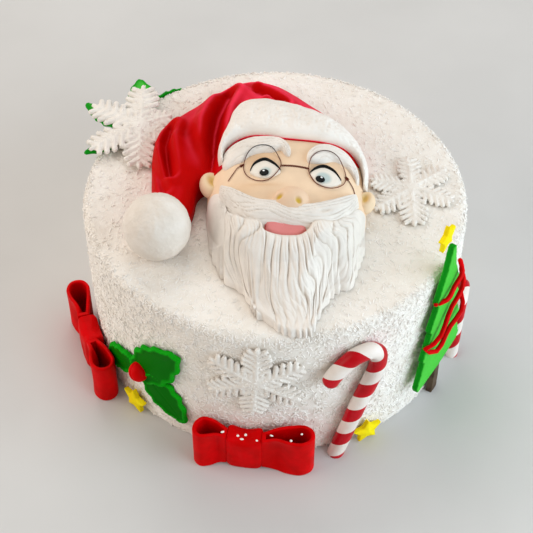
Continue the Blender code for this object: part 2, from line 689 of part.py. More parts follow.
def beard(head_piece, others):
    """The beard: strands that run from under the moustache to ragged tips at the rim."""
    columns = 2 * BEARD_STRANDS
    root, tips = smooth_line(BEARD_ROOT), smooth_line(BEARD_TIPS)

    def ends(s):
        ragged = 1.3 if round(s * columns) % 2 else -1.3
        return tips(s) + np.array((0.0, ragged))

    def top(s, t, x, y):
        slope = 5.0 + 17.0 * min(max((y + 101.0) / 45.0, 0.0), 1.0)
        sides = 1 - 0.65 * abs(2 * s - 1) ** 2.5
        over_head = head_height(x, y) + BEARD_THICKNESS * (1 - 0.5 * abs(2 * s - 1) ** 6)
        groove = BEARD_STRAND_DEPTH * (1 if round(s * columns) % 2 else -1) * (1 - (1 - t) ** 4)
        edge = 1.2 * (abs(2 * s - 1) ** 12 + t ** 8)
        return max(over_head, slope * sides) + groove - edge

    piece = patch("beard", "white_paste", root, ends, columns, 11, top, 0.0, on_top)
    cut(piece, head_piece, *others)
    return piece


def moustache(others):
    near, far = smooth_line(MOUSTACHE_LINES[0]), smooth_line(MOUSTACHE_LINES[1])

    def top(s, t, x, y):
        full = 0.5 + 0.5 * rounded(s)
        strand = 0.5 * (1 if round(5 * t) % 2 else -1)
        return head_height(x, y) + 2.2 + (MOUSTACHE_THICKNESS - 2.2) * rounded(t) * full + strand
    piece = patch("moustache", "white_paste", near, far, 16, 5, top, 8.0, on_top)
    cut(piece, *others)
    return piece


def hat_fold(s):
    """How far the creases across the hat sink its surface."""
    return sum(depth * math.exp(-((s - at) / width) ** 2) for at, width, depth in HAT_FOLDS)


def height_over(surfaces, x, y):
    """The height of the highest surface under a point, or nothing."""
    start = Vector((x * MM, y * MM, 2 * CAKE_HEIGHT * MM))
    hits = [surface.ray_cast(start, Vector((0, 0, -1)))[0] for surface in surfaces]
    heights = [hit.z / MM - CAKE_HEIGHT - GAP for hit in hits if hit is not None]
    return max(heights) if heights else None


def hat(brim_piece, others):
    inner, outer = smooth_line(HAT_INNER), smooth_line(HAT_OUTER)
    brim_surface = tree_of(brim_piece)

    def top(s, t, x, y):
        height = HAT_HEIGHT + (HAT_END_HEIGHT - HAT_HEIGHT) * s ** 2
        height *= min(0.45 + 3.0 * s, 1.0)
        free = min(max((s - 0.52) / 0.16, 0.0), 1.0)
        over_crown = height * math.sqrt(max(1 - t ** 2.6, 0.0))
        arched = height * rounded(0.04 + 0.96 * t)
        swell = (1 - free) * over_crown + free * arched - hat_fold(s) * rounded(0.2 + 0.8 * t)
        brim_top = height_over([brim_surface], x, y)
        if brim_top is not None:
            swell = min(swell, brim_top - HAT_UNDER_BRIM)
        crown = head_height(x, y)
        if crown > 0:
            swell = max(swell, crown + HAT_CLOTH)
        return max(swell, 1.2)
    piece = patch("hat", "red_paste", inner, outer, 26, 7, top, 0.0, on_top)
    cut(piece, *others)
    return piece


def brim():
    """The hat's rolled white brim, still whole beneath."""
    rows, columns = 20, 4
    inner, outer = smooth_line(BRIM_INNER), smooth_line(BRIM_OUTER)

    def top(s, t, x, y):
        edge = inner(s)[2] * (1 - t) + outer(s)[2] * t
        return edge + BRIM_THICKNESS * rounded(t) * (0.4 + 0.6 * rounded(s))
    return patch("hat_brim", "white_paste", lambda s: inner(s)[:2], lambda s: outer(s)[:2],
                 rows, columns, top, 4.0, on_top)


def spectacles(carriers):
    """Two wire rings, a bridge and two temples, laid just over the face and joined."""
    surfaces = [tree_of(obj) for obj in carriers]
    over = 2 * GAP + WIRE_RADIUS

    def highest_near(x, y):
        steps = (-WIRE_REACH, 0.0, WIRE_REACH)
        return max(height_over(surfaces, x + dx, y + dy) for dx in steps for dy in steps)

    def ring(centre):
        turns = [2 * math.pi * k / RING_STATIONS for k in range(RING_STATIONS)]
        flat = np.array([(centre[0] + LENS_HALF_WIDTH * math.cos(turn),
                          centre[1] + LENS_HALF_HEIGHT * math.sin(turn)) for turn in turns])
        heights = np.array([highest_near(x, y) for x, y in flat])
        tilts = [flat @ (a, b) for a in WIRE_TILTS for b in WIRE_TILTS]
        level = min((tilt + max(heights - tilt) for tilt in tilts), key=np.mean)
        return [on_top(x, y, z + over) for (x, y), z in zip(flat, level)]

    def temple(hinge, route):
        return [hinge] + [on_top(x, y, highest_near(x, y) + over) for x, y in route]

    left, right = ring(LENS_LEFT), ring(LENS_RIGHT)
    across = RING_STATIONS // 2
    bridge = [Vector(left[-1]).lerp(Vector(right[across + 1]), f) + Vector((0, 0, 1.2 * rounded(f)))
              for f in (0.0, 0.35, 0.65, 1.0)]
    frame = sweep("glasses", "wire", left, WIRE_RADIUS, 4, closed=True)
    parts = [sweep("part", "wire", bridge, WIRE_RADIUS, 4),
             sweep("part", "wire", right, WIRE_RADIUS, 4, closed=True),
             sweep("part", "wire", temple(left[across], TEMPLE_LEFT), WIRE_RADIUS, 4),
             sweep("part", "wire", temple(right[-1], TEMPLE_RIGHT), WIRE_RADIUS, 4)]
    for part in parts:
        step = frame.modifiers.new("join", "BOOLEAN")
        step.operation = "UNION"
        step.object = part
        settle(frame)
        bpy.data.objects.remove(part)
    return frame


def santa_face():
    """The whole head with its hat, from the pieces beneath to those on top."""
    head_piece = head()
    ears = [ear(name, head_piece) for name in EARS]
    pompom = ball("pompom", "white_paste", on_top(*POMPOM_CENTRE, POMPOM_HEIGHT),
                  (POMPOM_RADIUS,) * 3, 16, 10)
    flatten_below(pompom, CAKE_HEIGHT + GAP)
    brim_piece = brim()
    hat_piece = hat(brim_piece, [head_piece, pompom, *ears])
    cut(brim_piece, head_piece, *ears, hat_piece)
    nose = ball("nose", "skin_paste", on_top(*NOSE_CENTRE, NOSE_HEIGHT), NOSE_RADII, 14, 9)
    cut(nose, head_piece)
    mouth = on_face("mouth", "pink_paste", MOUTH_LINES, 6, 2, GAP, lambda s, t: MOUTH_THICKNESS)
    beard_piece = beard(head_piece, [mouth, hat_piece, brim_piece, *ears])
    moustache_piece = moustache([head_piece, nose, mouth, beard_piece, brim_piece, *ears])
    brows = [brow("eyebrow_left", BROW_LEFT_LINES), brow("eyebrow_right", BROW_RIGHT_LINES)]
    for piece in brows:
        cut(piece, brim_piece, hat_piece)
    eyes = eye_pieces()
    glasses = spectacles([head_piece, *brows, *eyes, moustache_piece, brim_piece])
    return [head_piece, *ears, pompom, hat_piece, brim_piece, nose, mouth, beard_piece,
            moustache_piece, *brows, *eyes, glasses]


# Snowflakes, holly and stars

def double_face(name, finish, plan, top_faces, outline, place):
    """Close a top skin with a like skin beneath it and a wall round its outline."""
    count = len(plan)
    points = [place(u, v, w) for u, v, w in plan] + [place(u, v, 0.0) for u, v, _ in plan]
    faces = top_faces + [[i + count for i in face] for face in top_faces]
    for here, following in zip(outline, outline[1:] + outline[:1]):
        faces.append([here, following, following + count, here + count])
    return build_object(name, finish, points, faces)


def snowflake(name, arms, place, full_barbs=5):
    """Arms that meet in the middle, each with pairs of leaf-shaped barbs."""
    plan, top_faces, outline = [(0.0, 0.0, FLAKE_THICKNESS)], [], []
    arms = sorted(arms)

    def add(direction, out, aside, share):
        turn = math.radians(direction)
        plan.append((out * math.cos(turn) - aside * math.sin(turn),
                     out * math.sin(turn) + aside * math.cos(turn), FLAKE_THICKNESS * share))
        return len(plan) - 1

    turns = [direction for direction, _ in arms] + [arms[0][0] + 360]
    between = [add((a + b) / 2, FLAKE_HUB, 0.0, 0.75) for a, b in zip(turns, turns[1:])]
    for k, (direction, length) in enumerate(arms):
        barbs = full_barbs if length > FLAKE_SHORT_ARM else full_barbs - 2
        pitch = (length - FLAKE_HUB) / barbs
        spine = [0] + [add(direction, FLAKE_HUB + pitch * (i + 1), 0.0, 1.0) for i in range(barbs)]
        sides = []
        for side in (-1, 1):
            side_line = [between[k] if side > 0 else between[k - 1]]
            for i in range(barbs):
                notch = side_line[-1]
                reach = 2.2 + 4.6 * math.sin(math.pi * (i + 1.2) / (barbs + 1.2))
                tip = add(direction, FLAKE_HUB + pitch * (i + 1.0), side * reach, 0.7)
                side_line.append(tip)
                if i == barbs - 1:
                    top_faces += [[spine[i], notch, spine[i + 1]], [notch, tip, spine[i + 1]]]
                    continue
                following = add(direction, FLAKE_HUB + pitch * (i + 0.9), side * 1.5, 0.75)
                side_line.append(following)
                top_faces += [[spine[i], notch, following, spine[i + 1]], [notch, tip, following]]
            sides.append(side_line)
        outline += sides[0] + [spine[-1]] + sides[1][:0:-1]
    return double_face(name, "white_paste", plan, top_faces, outline, place)


def leaf(name, finish, base, tip, half_width, place):
    """A holly leaf with spiny edges and a soft wave."""
    base, tip = np.array(base, float), np.array(tip, float)
    aside = np.array((-(tip - base)[1], (tip - base)[0])) / np.linalg.norm(tip - base)
    stations = 2 * LEAF_SPINES + 1

    def edge(side):
        def line(s):
            swell = math.sin(math.pi * (0.06 + 0.9 * s) ** 0.9) ** 0.7
            spine = 1.0 if round(s * stations) % 2 else 0.84
            return base + (tip - base) * s + aside * side * half_width * swell * spine
        return line

    def wave(s, t):
        return LEAF_WAVE * (1 + math.sin(5 * s + 3 * t))
    return patch(name, finish, edge(-1), edge(1), stations, 2,
                 lambda s, t, x, y: wave(s, t) + LEAF_THICKNESS * (1 - 0.35 * abs(2 * t - 1)),
                 lambda s, t, x, y: wave(s, t), place)


def star(name, middle, radius, thickness, place):
    plan = [(*middle, thickness)]
    for k in range(10):
        turn = math.radians(90 + 36 * k)
        out = radius * (1.0 if k % 2 == 0 else 0.52)
        plan.append((middle[0] + out * math.cos(turn), middle[1] + out * math.sin(turn),
                     thickness * 0.72))
    top_faces = [[0, 1 + k, 1 + (k + 1) % 10] for k in range(10)]
    return double_face(name, "yellow_paste", plan, top_faces, list(range(1, 11)), place)


def snowflakes():
    on_leaves = around(FLAKE_LEFT_PLACE, FLAKE_LEFT_RISE, FLAKE_LEFT_FLAT)
    made = [snowflake("snowflake_left", FLAKE_LEFT_ARMS, on_leaves),
            snowflake("snowflake_right", FLAKE_RIGHT_ARMS, around(FLAKE_RIGHT_PLACE))]
    for name, (angle, height, barbs) in FLAKES_ON_WALL.items():
        made.append(snowflake(name, FLAKE_WALL_ARMS, on_wall(angle, height), barbs))
    return made


def holly():
    front = on_wall(HOLLY_ANGLE, HOLLY_HEIGHT)
    leaves = [leaf(name, "green_paste", *shape, front) for name, shape in HOLLY_FRONT.items()]
    cut(leaves[0], leaves[1])
    cut(leaves[2], leaves[1], leaves[0])
    berry = ball("holly_front_berry", "red_paste", front(*BERRY_PLACE, BERRY_LIFT), (BERRY_RADIUS,) * 3,
                 10, 7)
    for vertex in berry.data.vertices:
        aside = vertex.co.to_2d()
        if aside.length < (CAKE_RADIUS + BERRY_LIFT) * MM:
            vertex.co.xy = aside.normalized() * (CAKE_RADIUS + BERRY_LIFT) * MM
    back = [leaf(name, "light_green_paste", *shape, on_top) for name, shape in HOLLY_BACK.items()]
    behind = on_wall(HOLLY_BEHIND_ANGLE, HOLLY_BEHIND_HEIGHT)
    back += [leaf(name, "light_green_paste", *shape, behind) for name, shape in HOLLY_BEHIND.items()]
    return [*leaves, berry, *back]


def stars():
    made = []
    for name, (angle, height, behind) in STARS_ON_WALL.items():
        wall = on_wall(angle, height)
        made.append(star(name, (0.0, 0.0), STAR_RADIUS, STAR_THICKNESS,
                         lambda u, v, w: wall(u, v, w + behind)))
    made.append(star("star_tree", TREE_STAR, TREE_STAR_RADIUS, TREE_STAR_THICKNESS,
                     lambda u, v, w: on_tree_plane(u, v, w - TREE_STAR_BEHIND)))
    return made


# Candy canes, the tree and the bows

def candy_canes():
    made = []
    for name, line, radius in (("candy_cane_front", CANE_FRONT, CANE_FRONT_RADIUS),
                               ("candy_cane_far", CANE_FAR, CANE_FAR_RADIUS)):
        smooth = smooth_line(line)
        centres = []
        for k in range(17):
            angle, height = smooth(k / 16)
            centres.append(on_wall(angle, height)(0.0, 0.0, radius + 0.4))
        piece = sweep(name, "cane_paste", centres, radius, 8)
        flatten_below(piece, 0.0)
        made.append(piece)
    return made


def christmas_tree(tree_star):
    left = broken_line([(TREE_AXIS - half, z) for z, half in TREE_TIERS])
    right = broken_line([(TREE_AXIS + half, z) for z, half in TREE_TIERS])
    slab = patch("tree", "light_green_paste", left, right, len(TREE_TIERS) - 1, 2,
                 lambda s, t, x, y: TREE_THICKNESS * (1 - 0.12 * abs(2 * t - 1)), 0.0, on_tree_plane)
    cut(slab, tree_star)
    corners = [(TREE_AXIS - TRUNK_HALF_WIDTH, 0.0), (TREE_AXIS - TRUNK_HALF_WIDTH + 0.6, TRUNK_TOP)]
    others = [(2 * TREE_AXIS - u, z) for u, z in corners]
    trunk = patch("tree_trunk", "brown_paste", broken_line(corners), broken_line(others), 1, 1,
                  lambda s, t, x, y: TRUNK_THICKNESS, 0.0, on_tree_plane)
    made = [slab, trunk]
    for name, route in GARLANDS.items():
        points = [(u, v, GARLAND_OVER if front else GARLAND_ROUND) for u, v, front in route]
        smooth = smooth_line(points)
        count = 2 * len(route)
        centres = [on_tree_plane(*smooth(k / count)) for k in range(count + 1)]
        garland = sweep(name, "red_paste", centres, GARLAND_RADIUS, 5)
        cut(garland, slab)
        made.append(garland)
    return made


def loop_line(length):
    """The plan of one ribbon loop from the knot out and back, as (along, out)."""
    narrow = 0.5 * (BOW_DEPTH - LOOP_NARROW)
    return [(0.0, narrow), (0.28 * length, 4.0), (0.62 * length, 3.2), (0.86 * length, 3.8),
            (0.985 * length, 6.6), (length, 9.6), (0.93 * length, 13.0), (0.76 * length, BOW_DEPTH - 0.6),
            (0.52 * length, 13.2), (0.26 * length, 10.4), (0.0, narrow + LOOP_NARROW)]


def bow_loop(name, side, length, place):
    """A ribbon on its edge, bent into a closed loop that is open above and below."""
    smooth = smooth_line(loop_line(length))
    stations, half = 15, 0.5 * RIBBON_THICKNESS
    start = KNOT_HALF_WIDTH + GAP
    levels = (0.0, 0.55 * BOW_HEIGHT, BOW_HEIGHT)
    points, rings = [], []
    for level, z in enumerate(levels):
        for offset in (half, -half):
            ring = []
            for k in range(stations):
                s = k / (stations - 1)
                u, w = smooth(s)
                ahead = smooth(min(s + 0.01, 1.0)) - smooth(max(s - 0.01, 0.0))
                ahead /= np.linalg.norm(ahead)
                pinch = 1.5 * (level == 1) * math.exp(-((s - 0.86) / 0.08) ** 2)
                u = max(u + ahead[1] * offset, 0.0 if offset > 0 else RIBBON_THICKNESS)
                w = max(w - ahead[0] * offset - pinch, 0.15)
                ring.append(len(points))
                points.append(place(side * (start + u), w, z))
            rings.append(ring)
    faces = []

    def band(a, b):
        for k in range(stations):
            n = (k + 1) % stations
            faces.append([a[k], a[n], b[n], b[k]])
    for level in range(len(levels) - 1):
        band(rings[2 * level], rings[2 * level + 2])
        band(rings[2 * level + 1], rings[2 * level + 3])
    band(rings[0], rings[1])
    band(rings[-2], rings[-1])
    return build_object(name, "red_paste", points, faces)


def bow(name, angle, left_length, right_length, behind):
    wall = against_wall(angle)

    def place(u, w, z):
        return wall(u, w + behind, z)
    back = broken_line([(-KNOT_HALF_WIDTH + 0.4, 1.2), (0.0, 0.3), (KNOT_HALF_WIDTH - 0.4, 1.2)])
    front = smooth_line([(-KNOT_HALF_WIDTH, KNOT_DEPTH - 1.6), (-0.6 * KNOT_HALF_WIDTH, KNOT_DEPTH),
                         (0.6 * KNOT_HALF_WIDTH, KNOT_DEPTH), (KNOT_HALF_WIDTH, KNOT_DEPTH - 1.6)])
    knot = patch(name + "_knot", "red_paste", back, front, 4, 2,
                 lambda s, t, x, y: BOW_HEIGHT - 1.6 - KNOT_DIP * rounded(s) - 1.6 * t ** 3,
                 0.0, place)
    return [bow_loop(name + "_loop_left", -1, left_length, place),
            bow_loop(name + "_loop_right", 1, right_length, place), knot]


def bows():
    return [piece for name, shape in BOWS.items() for piece in bow(name, *shape)]


for old in list(bpy.data.objects):
    bpy.data.objects.remove(old)
MATERIALS = make_finishes()
cake_piece = cake_body()
pieces = [*santa_face(), *snowflakes(), *holly(), *stars(), *candy_canes(), *bows()]
pieces += christmas_tree(bpy.data.objects["star_tree"])
for name, other in (("snowflake_left", "hat"), ("bow_left_loop_right", "holly_front_leaf_1")):
    cut(bpy.data.objects[name], bpy.data.objects[other])
coat_with_coconut(cake_piece, pieces)
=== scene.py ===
"""The looks of a round christmas cake in coconut, with sugar-paste decorations.

The frame's origin is on the cake's axis at its base, +Z is up and the front is towards -Y. Lengths
are in millimetres until build and softened turn them into metres. Angles round the wall run from the
front towards +X, in degrees. In a patch, s runs along its two lines and t goes from one to the other,
both from 0 to 1.
"""
import json
import math

import bmesh
import bpy
import numpy as np
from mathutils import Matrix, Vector
from mathutils.bvhtree import BVHTree
from mathutils.kdtree import KDTree


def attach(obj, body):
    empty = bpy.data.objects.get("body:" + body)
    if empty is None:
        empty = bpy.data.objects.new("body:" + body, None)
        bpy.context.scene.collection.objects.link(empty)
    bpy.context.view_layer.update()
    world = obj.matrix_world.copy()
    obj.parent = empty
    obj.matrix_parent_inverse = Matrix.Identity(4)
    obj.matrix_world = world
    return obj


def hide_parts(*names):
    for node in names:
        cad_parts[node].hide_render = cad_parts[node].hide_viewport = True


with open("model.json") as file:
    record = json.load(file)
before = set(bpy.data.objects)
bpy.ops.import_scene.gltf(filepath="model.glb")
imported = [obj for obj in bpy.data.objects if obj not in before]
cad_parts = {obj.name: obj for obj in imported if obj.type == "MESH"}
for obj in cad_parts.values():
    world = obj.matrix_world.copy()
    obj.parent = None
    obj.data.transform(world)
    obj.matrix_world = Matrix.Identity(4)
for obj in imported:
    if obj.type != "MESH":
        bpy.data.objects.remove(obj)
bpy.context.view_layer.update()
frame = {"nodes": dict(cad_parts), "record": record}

MM = 0.001
GAP = 0.3
CAKE_RADIUS, CAKE_HEIGHT, RIM_ROUNDING, FOOT_ROUNDING = 102.5, 95.0, 4.5, 1.2
NOISE_TABLE = 32
DOME_LENGTH = 0.9


# Meshes

def placed(name, data):
    """A new object in the scene."""
    made = bpy.data.objects.new(name, data)
    bpy.context.scene.collection.objects.link(made)
    return made


def build(name, finish, points, faces, slot, replaced=(), sharp=None):
    """An object from millimetre points that stands for the named nodes."""
    mesh = bpy.data.meshes.new(name)
    mesh.from_pydata((np.asarray(points, float) * MM).tolist(), [], [list(f) for f in faces])
    mesh.materials.append(finish)
    shape = bmesh.new()
    shape.from_mesh(mesh)
    bmesh.ops.recalc_face_normals(shape, faces=shape.faces)
    shape.to_mesh(mesh)
    shape.free()
    mesh.shade_smooth()
    if sharp:
        mesh.set_sharp_from_angle(angle=math.radians(sharp))
    piece = placed(name, mesh)
    own(piece, slot, replaced)
    return piece


def own(piece, slot, replaced=()):
    if replaced:
        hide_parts(*replaced)
    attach(piece, "root")


def tone(piece, name, values):
    """A number at each point, for the material."""
    layer = piece.data.attributes.new(name, "FLOAT", "POINT")
    layer.data.foreach_set("value", np.asarray(values, np.float32))


def vertex_data(mesh):
    """Each vertex's place in millimetres, and its normal."""
    found = []
    for kind in ("co", "normal"):
        values = np.zeros(len(mesh.vertices) * 3, np.float32)
        mesh.vertices.foreach_get(kind, values)
        found.append(values.reshape(-1, 3))
    return found[0] / MM, found[1]


def search_trees(objects):
    graph = bpy.context.evaluated_depsgraph_get()
    return [BVHTree.FromObject(piece, graph) for piece in objects]


def joined(parts):
    """Points and faces of several meshes as one."""
    points, faces, first = [], [], 0
    for part_points, part_faces in parts:
        points.append(part_points)
        faces += [[first + i for i in face] for face in part_faces]
        first += len(part_points)
    return np.concatenate(points), faces


def ring_faces(low, high, count):
    """Quads between two closed rings of points, each named by its first point's number."""
    return [(low + k, low + (k + 1) % count, high + (k + 1) % count, high + k) for k in range(count)]


def unit(vectors):
    return vectors / np.linalg.norm(vectors, axis=1)[:, None]


def turned(points, degrees):
    """Points turned about the upright axis."""
    c, s = math.cos(math.radians(degrees)), math.sin(math.radians(degrees))
    return points @ np.array([[c, s, 0], [-s, c, 0], [0, 0, 1]])


def ball(centre, radii, segments, rings, turn=0.0):
    """Points and faces of an ellipsoid, turned about its upright axis."""
    points, faces = [(0.0, 0.0, 1.0)], []
    for ring in range(1, rings):
        slant = math.pi * ring / rings
        for k in range(segments):
            a = 2 * math.pi * k / segments
            points.append((math.sin(slant) * math.cos(a), math.sin(slant) * math.sin(a), math.cos(slant)))
    points.append((0.0, 0.0, -1.0))
    for k in range(segments):
        n = (k + 1) % segments
        faces.append((0, 1 + k, 1 + n))
        for ring in range(rings - 2):
            low, high = 1 + ring * segments, 1 + (ring + 1) * segments
            faces.append((low + k, high + k, high + n, low + n))
        low = 1 + (rings - 2) * segments
        faces.append((low + n, low + k, len(points) - 1))
    return turned(np.array(points) * radii, turn) + np.array(centre, float), faces


def tube_mesh(centres, radius, sides, closed=False, ends=6, twist=None, outward=None):
    """A round tube along points, with domed ends unless it is closed on itself. The radius is one
    number or one for each point, and outward says where each ring starts."""
    centres = np.asarray(centres, float)
    count = len(centres)
    radii = np.broadcast_to(radius, count)
    if closed:
        ahead = unit(np.roll(centres, -1, 0) - np.roll(centres, 1, 0))
    else:
        ahead = unit(np.gradient(centres, axis=0))
    normal = np.cross(ahead[0], (0.3, 0.5, 0.81))
    turns = 2 * math.pi * np.arange(sides) / sides
    rings = []
    for i in range(count):
        normal = outward[i] if outward is not None else normal
        normal = normal - ahead[i] * normal.dot(ahead[i])
        normal = normal / np.linalg.norm(normal)
        turn = turns + (twist[i] if twist is not None else 0.0)
        ring = np.outer(np.cos(turn), normal) + np.outer(np.sin(turn), np.cross(ahead[i], normal))
        domes = [(0.0, 1.0)]
        if not closed and i in (0, count - 1):
            steps = [math.pi / 2 * k / ends for k in range(ends)]
            sign = -1 if i == 0 else 1
            domes = [(sign * DOME_LENGTH * math.sin(a), math.cos(a)) for a in steps][::sign]
        for shift, scale in domes:
            rings.append(centres[i] + ring * radii[i] * scale + ahead[i] * radii[i] * shift)
    faces, total = [], len(rings)
    for r in range(total if closed else total - 1):
        faces += ring_faces(r * sides, (r + 1) % total * sides, sides)
    if not closed:
        faces += [tuple(range(sides)), tuple(range((total - 1) * sides, total * sides))]
    return np.concatenate(rings), faces


def softened(node, mesh, finish, slot, voxel, rounds, rough=0.0):
    """A mesh that stands for a node: what overlaps is joined, and its edges are rounded and its
    surface roughened a little, as paste is."""
    piece = placed(node + "_paste", mesh)
    remesh = piece.modifiers.new("remesh", "REMESH")
    remesh.mode = "VOXEL"
    remesh.voxel_size = voxel * MM
    smooth = piece.modifiers.new("smooth", "SMOOTH")
    smooth.iterations = rounds
    bpy.context.view_layer.update()
    graph = bpy.context.evaluated_depsgraph_get()
    mesh = bpy.data.meshes.new_from_object(piece.evaluated_get(graph))
    piece.modifiers.clear()
    mesh.materials.clear()
    mesh.materials.append(finish)
    if rough:
        places, normals = vertex_data(mesh)
        push = np.random.default_rng(len(piece.name)).normal(0.0, rough, len(places))
        places = (places + normals * push[:, None]) * MM
        mesh.vertices.foreach_set("co", places.astype(np.float32).ravel())
    mesh.shade_smooth()
    piece.data = mesh
    own(piece, slot, [node])
    return piece


# Places and profiles

def smooth_line(points):
    """A smooth line through points, as a function of an array of shares from 0 to 1."""
    points = np.array(points, float)
    steps = np.linalg.norm(np.diff(points, axis=0), axis=1)
    knots = np.concatenate([[0.0], np.cumsum(steps)]) / steps.sum()
    slopes = np.gradient(points, knots, axis=0)

    def line(s):
        s = np.asarray(s, float)
        i = np.clip(np.searchsorted(knots, s) - 1, 0, len(points) - 2)
        width = (knots[i + 1] - knots[i])[..., None]
        f = (s[..., None] - knots[i][..., None]) / width
        ends = (1 + 2 * f) * (1 - f) ** 2 * points[i] + f * f * (3 - 2 * f) * points[i + 1]
        bends = f * (1 - f) ** 2 * slopes[i] - f * f * (1 - f) * slopes[i + 1]
        return ends + bends * width
    return line


def on_top(x, y, z):
    return np.stack(np.broadcast_arrays(x, y, CAKE_HEIGHT + GAP + z), -1)


def around(middle, rise=0.0, flat=(0.0, 1.0)):
    """On the top round a middle. It rises from the cake's inner radius to its outer one."""
    def place(u, v, w):
        x, y = middle[0] + u, middle[1] + v
        share = np.clip((np.hypot(x, y) - flat[0]) / (flat[1] - flat[0]), 0.0, 1.0)
        return on_top(x, y, rise * share + w)
    return place


def on_wall(angle, height):
    """Flat on the wall: u along it, v up it and w out from it."""
    def place(u, v, w):
        turn = math.radians(angle) + np.asarray(u) / CAKE_RADIUS
        out = CAKE_RADIUS + GAP + np.asarray(w)
        return np.stack(np.broadcast_arrays(out * np.sin(turn), -out * np.cos(turn),
                                            height + np.asarray(v)), -1)
    return place


def outward_at(turn):
    """The way out from the axis at angles round the wall, in radians from the front."""
    return np.stack([np.sin(turn), -np.cos(turn), 0 * turn], -1)


def crowded(count):
    """Shares from 0 to 1 that lie closer at the ends."""
    return 0.5 - 0.5 * np.cos(math.pi * np.arange(count + 1) / count)


def rounded(t):
    """A rounded rise and fall from 0 to 1 and back."""
    return np.sqrt(np.clip(1 - np.abs(2 * t - 1) ** 2.4, 0.0, None))


def ridges(u, power=1.6):
    """Soft ridges with sharp grooves between them, one for each whole number of u."""
    return 1 - np.abs(2 * (u - np.floor(u)) - 1) ** power


def rolled(share):
    """The height of a rounded edge by the share of the way in from it."""
    return np.sqrt(1 - (1 - np.clip(share, 0.0, 1.0)) ** 2)


def eased(f):
    return f * f * (3 - 2 * f)


def spot(x, y, middle, half_width, half_height, turn=0.0):
    """1 at the middle, fading out round it."""
    c, s = math.cos(math.radians(turn)), math.sin(math.radians(turn))
    dx, dy = x - middle[0], y - middle[1]
    return np.exp(-((c * dx + s * dy) / half_width) ** 2 - ((c * dy - s * dx) / half_height) ** 2)


def from_edge(s, t, length, width, radius):
    """0 at the outline of a patch, rounded up to 1 at the radius from it."""
    inward = np.minimum(np.minimum(s, 1 - s) * length, np.minimum(t, 1 - t) * width)
    return rolled(inward / radius)


def value_noise(places, seed):
    """Smooth random values from 0 to 1 at points in space."""
    table = np.random.default_rng(seed).random((NOISE_TABLE, NOISE_TABLE, NOISE_TABLE))
    cell = np.floor(places).astype(int)
    f = eased(places - cell)
    total = np.zeros(len(places))
    for corner in np.ndindex(2, 2, 2):
        i, j, k = ((cell + corner) % NOISE_TABLE).T
        total += np.prod(np.where(np.array(corner), f, 1 - f), axis=1) * table[i, j, k]
    return total


def patch(name, finish, slot, near, far, along, across, top, bottom, place, replaced, sharp=50.0):
    """A closed piece between two lines, with a top and a bottom over each point."""
    s, t = np.meshgrid(along, across, indexing="ij")
    start, end = near(along)[:, None, :], far(along)[:, None, :]
    plan = start + (end - start) * t[..., None]
    x, y = plan[..., 0], plan[..., 1]
    upper = place(x, y, top(s, t, x, y))
    lower = place(x, y, bottom(s, t, x, y) if callable(bottom) else bottom + 0 * x)
    points = np.concatenate([upper.reshape(-1, 3), lower.reshape(-1, 3)])
    count = s.size
    index = np.arange(count).reshape(s.shape)
    quads = [index[:-1, :-1], index[1:, :-1], index[1:, 1:], index[:-1, 1:]]
    quads = np.stack(quads, -1).reshape(-1, 4)
    edge = np.concatenate([index[:, 0], index[-1, 1:], index[-2::-1, -1], index[0, -2:0:-1]])
    following = np.roll(edge, -1)
    walls = np.stack([edge, edge + count, following + count, following], -1)
    faces = np.concatenate([quads, quads[:, ::-1] + count, walls])
    return build(name, finish, points, faces, slot, replaced, sharp)


def heights_over(trees, x, y):
    """The height of the highest surface under each point over the cake's top, or -100."""
    found = np.full(x.shape, -100.0)
    for index in np.ndindex(x.shape):
        start = Vector((x[index] * MM, y[index] * MM, 2 * CAKE_HEIGHT * MM))
        for tree in trees:
            hit = tree.ray_cast(start, Vector((0, 0, -1)))[0]
            if hit is not None:
                found[index] = max(found[index], hit.z / MM - CAKE_HEIGHT - GAP)
    return found


def distance_to_line(x, y, line):
    """How far each point is from a broken line, and the share along it of the nearest place."""
    line = np.array(line, float)
    best, share = np.full(x.shape, 1e9), np.zeros(x.shape)
    runs = len(line) - 1
    for k in range(runs):
        start, run = line[k], line[k + 1] - line[k]
        f = np.clip(((x - start[0]) * run[0] + (y - start[1]) * run[1]) / (run @ run), 0.0, 1.0)
        away = np.hypot(x - start[0] - run[0] * f, y - start[1] - run[1] * f)
        share = np.where(away < best, (k + f) / runs, share)
        best = np.minimum(away, best)
    return best, share


# Materials

MOTTLE_SIZE, MOTTLE_SPAN = 9.0, (0.35, 0.65)
TONED_SPECULAR, TONED_DARKER = 0.05, 0.92


def material(name, colour, roughness, specular):
    made = bpy.data.materials.new(name)
    made.use_nodes = True
    shader = made.node_tree.nodes["Principled BSDF"]
    shader.inputs["Base Color"].default_value = (*colour, 1.0)
    shader.inputs["Roughness"].default_value = roughness
    shader.inputs["Specular IOR Level"].default_value = specular
    return made


def linked(made, kind, **inputs):
    """A new node whose inputs are values or other nodes' outputs."""
    node = made.node_tree.nodes.new(kind)
    for socket, value in inputs.items():
        if isinstance(value, bpy.types.NodeSocket):
            made.node_tree.links.new(value, node.inputs[socket])
        else:
            node.inputs[socket].default_value = value
    return node


def feed(made, output, socket):
    """Links an output to one of the shader's own sockets."""
    made.node_tree.links.new(output, made.node_tree.nodes["Principled BSDF"].inputs[socket])


def noise(made, size, detail=4.0, rough=0.5):
    """Noise of a size in millimetres that stays with the object."""
    place = linked(made, "ShaderNodeTexCoord").outputs["Object"]
    node = linked(made, "ShaderNodeTexNoise", Vector=place, Scale=1 / (size * MM), Detail=detail,
                  Roughness=rough)
    return node.outputs["Fac"]


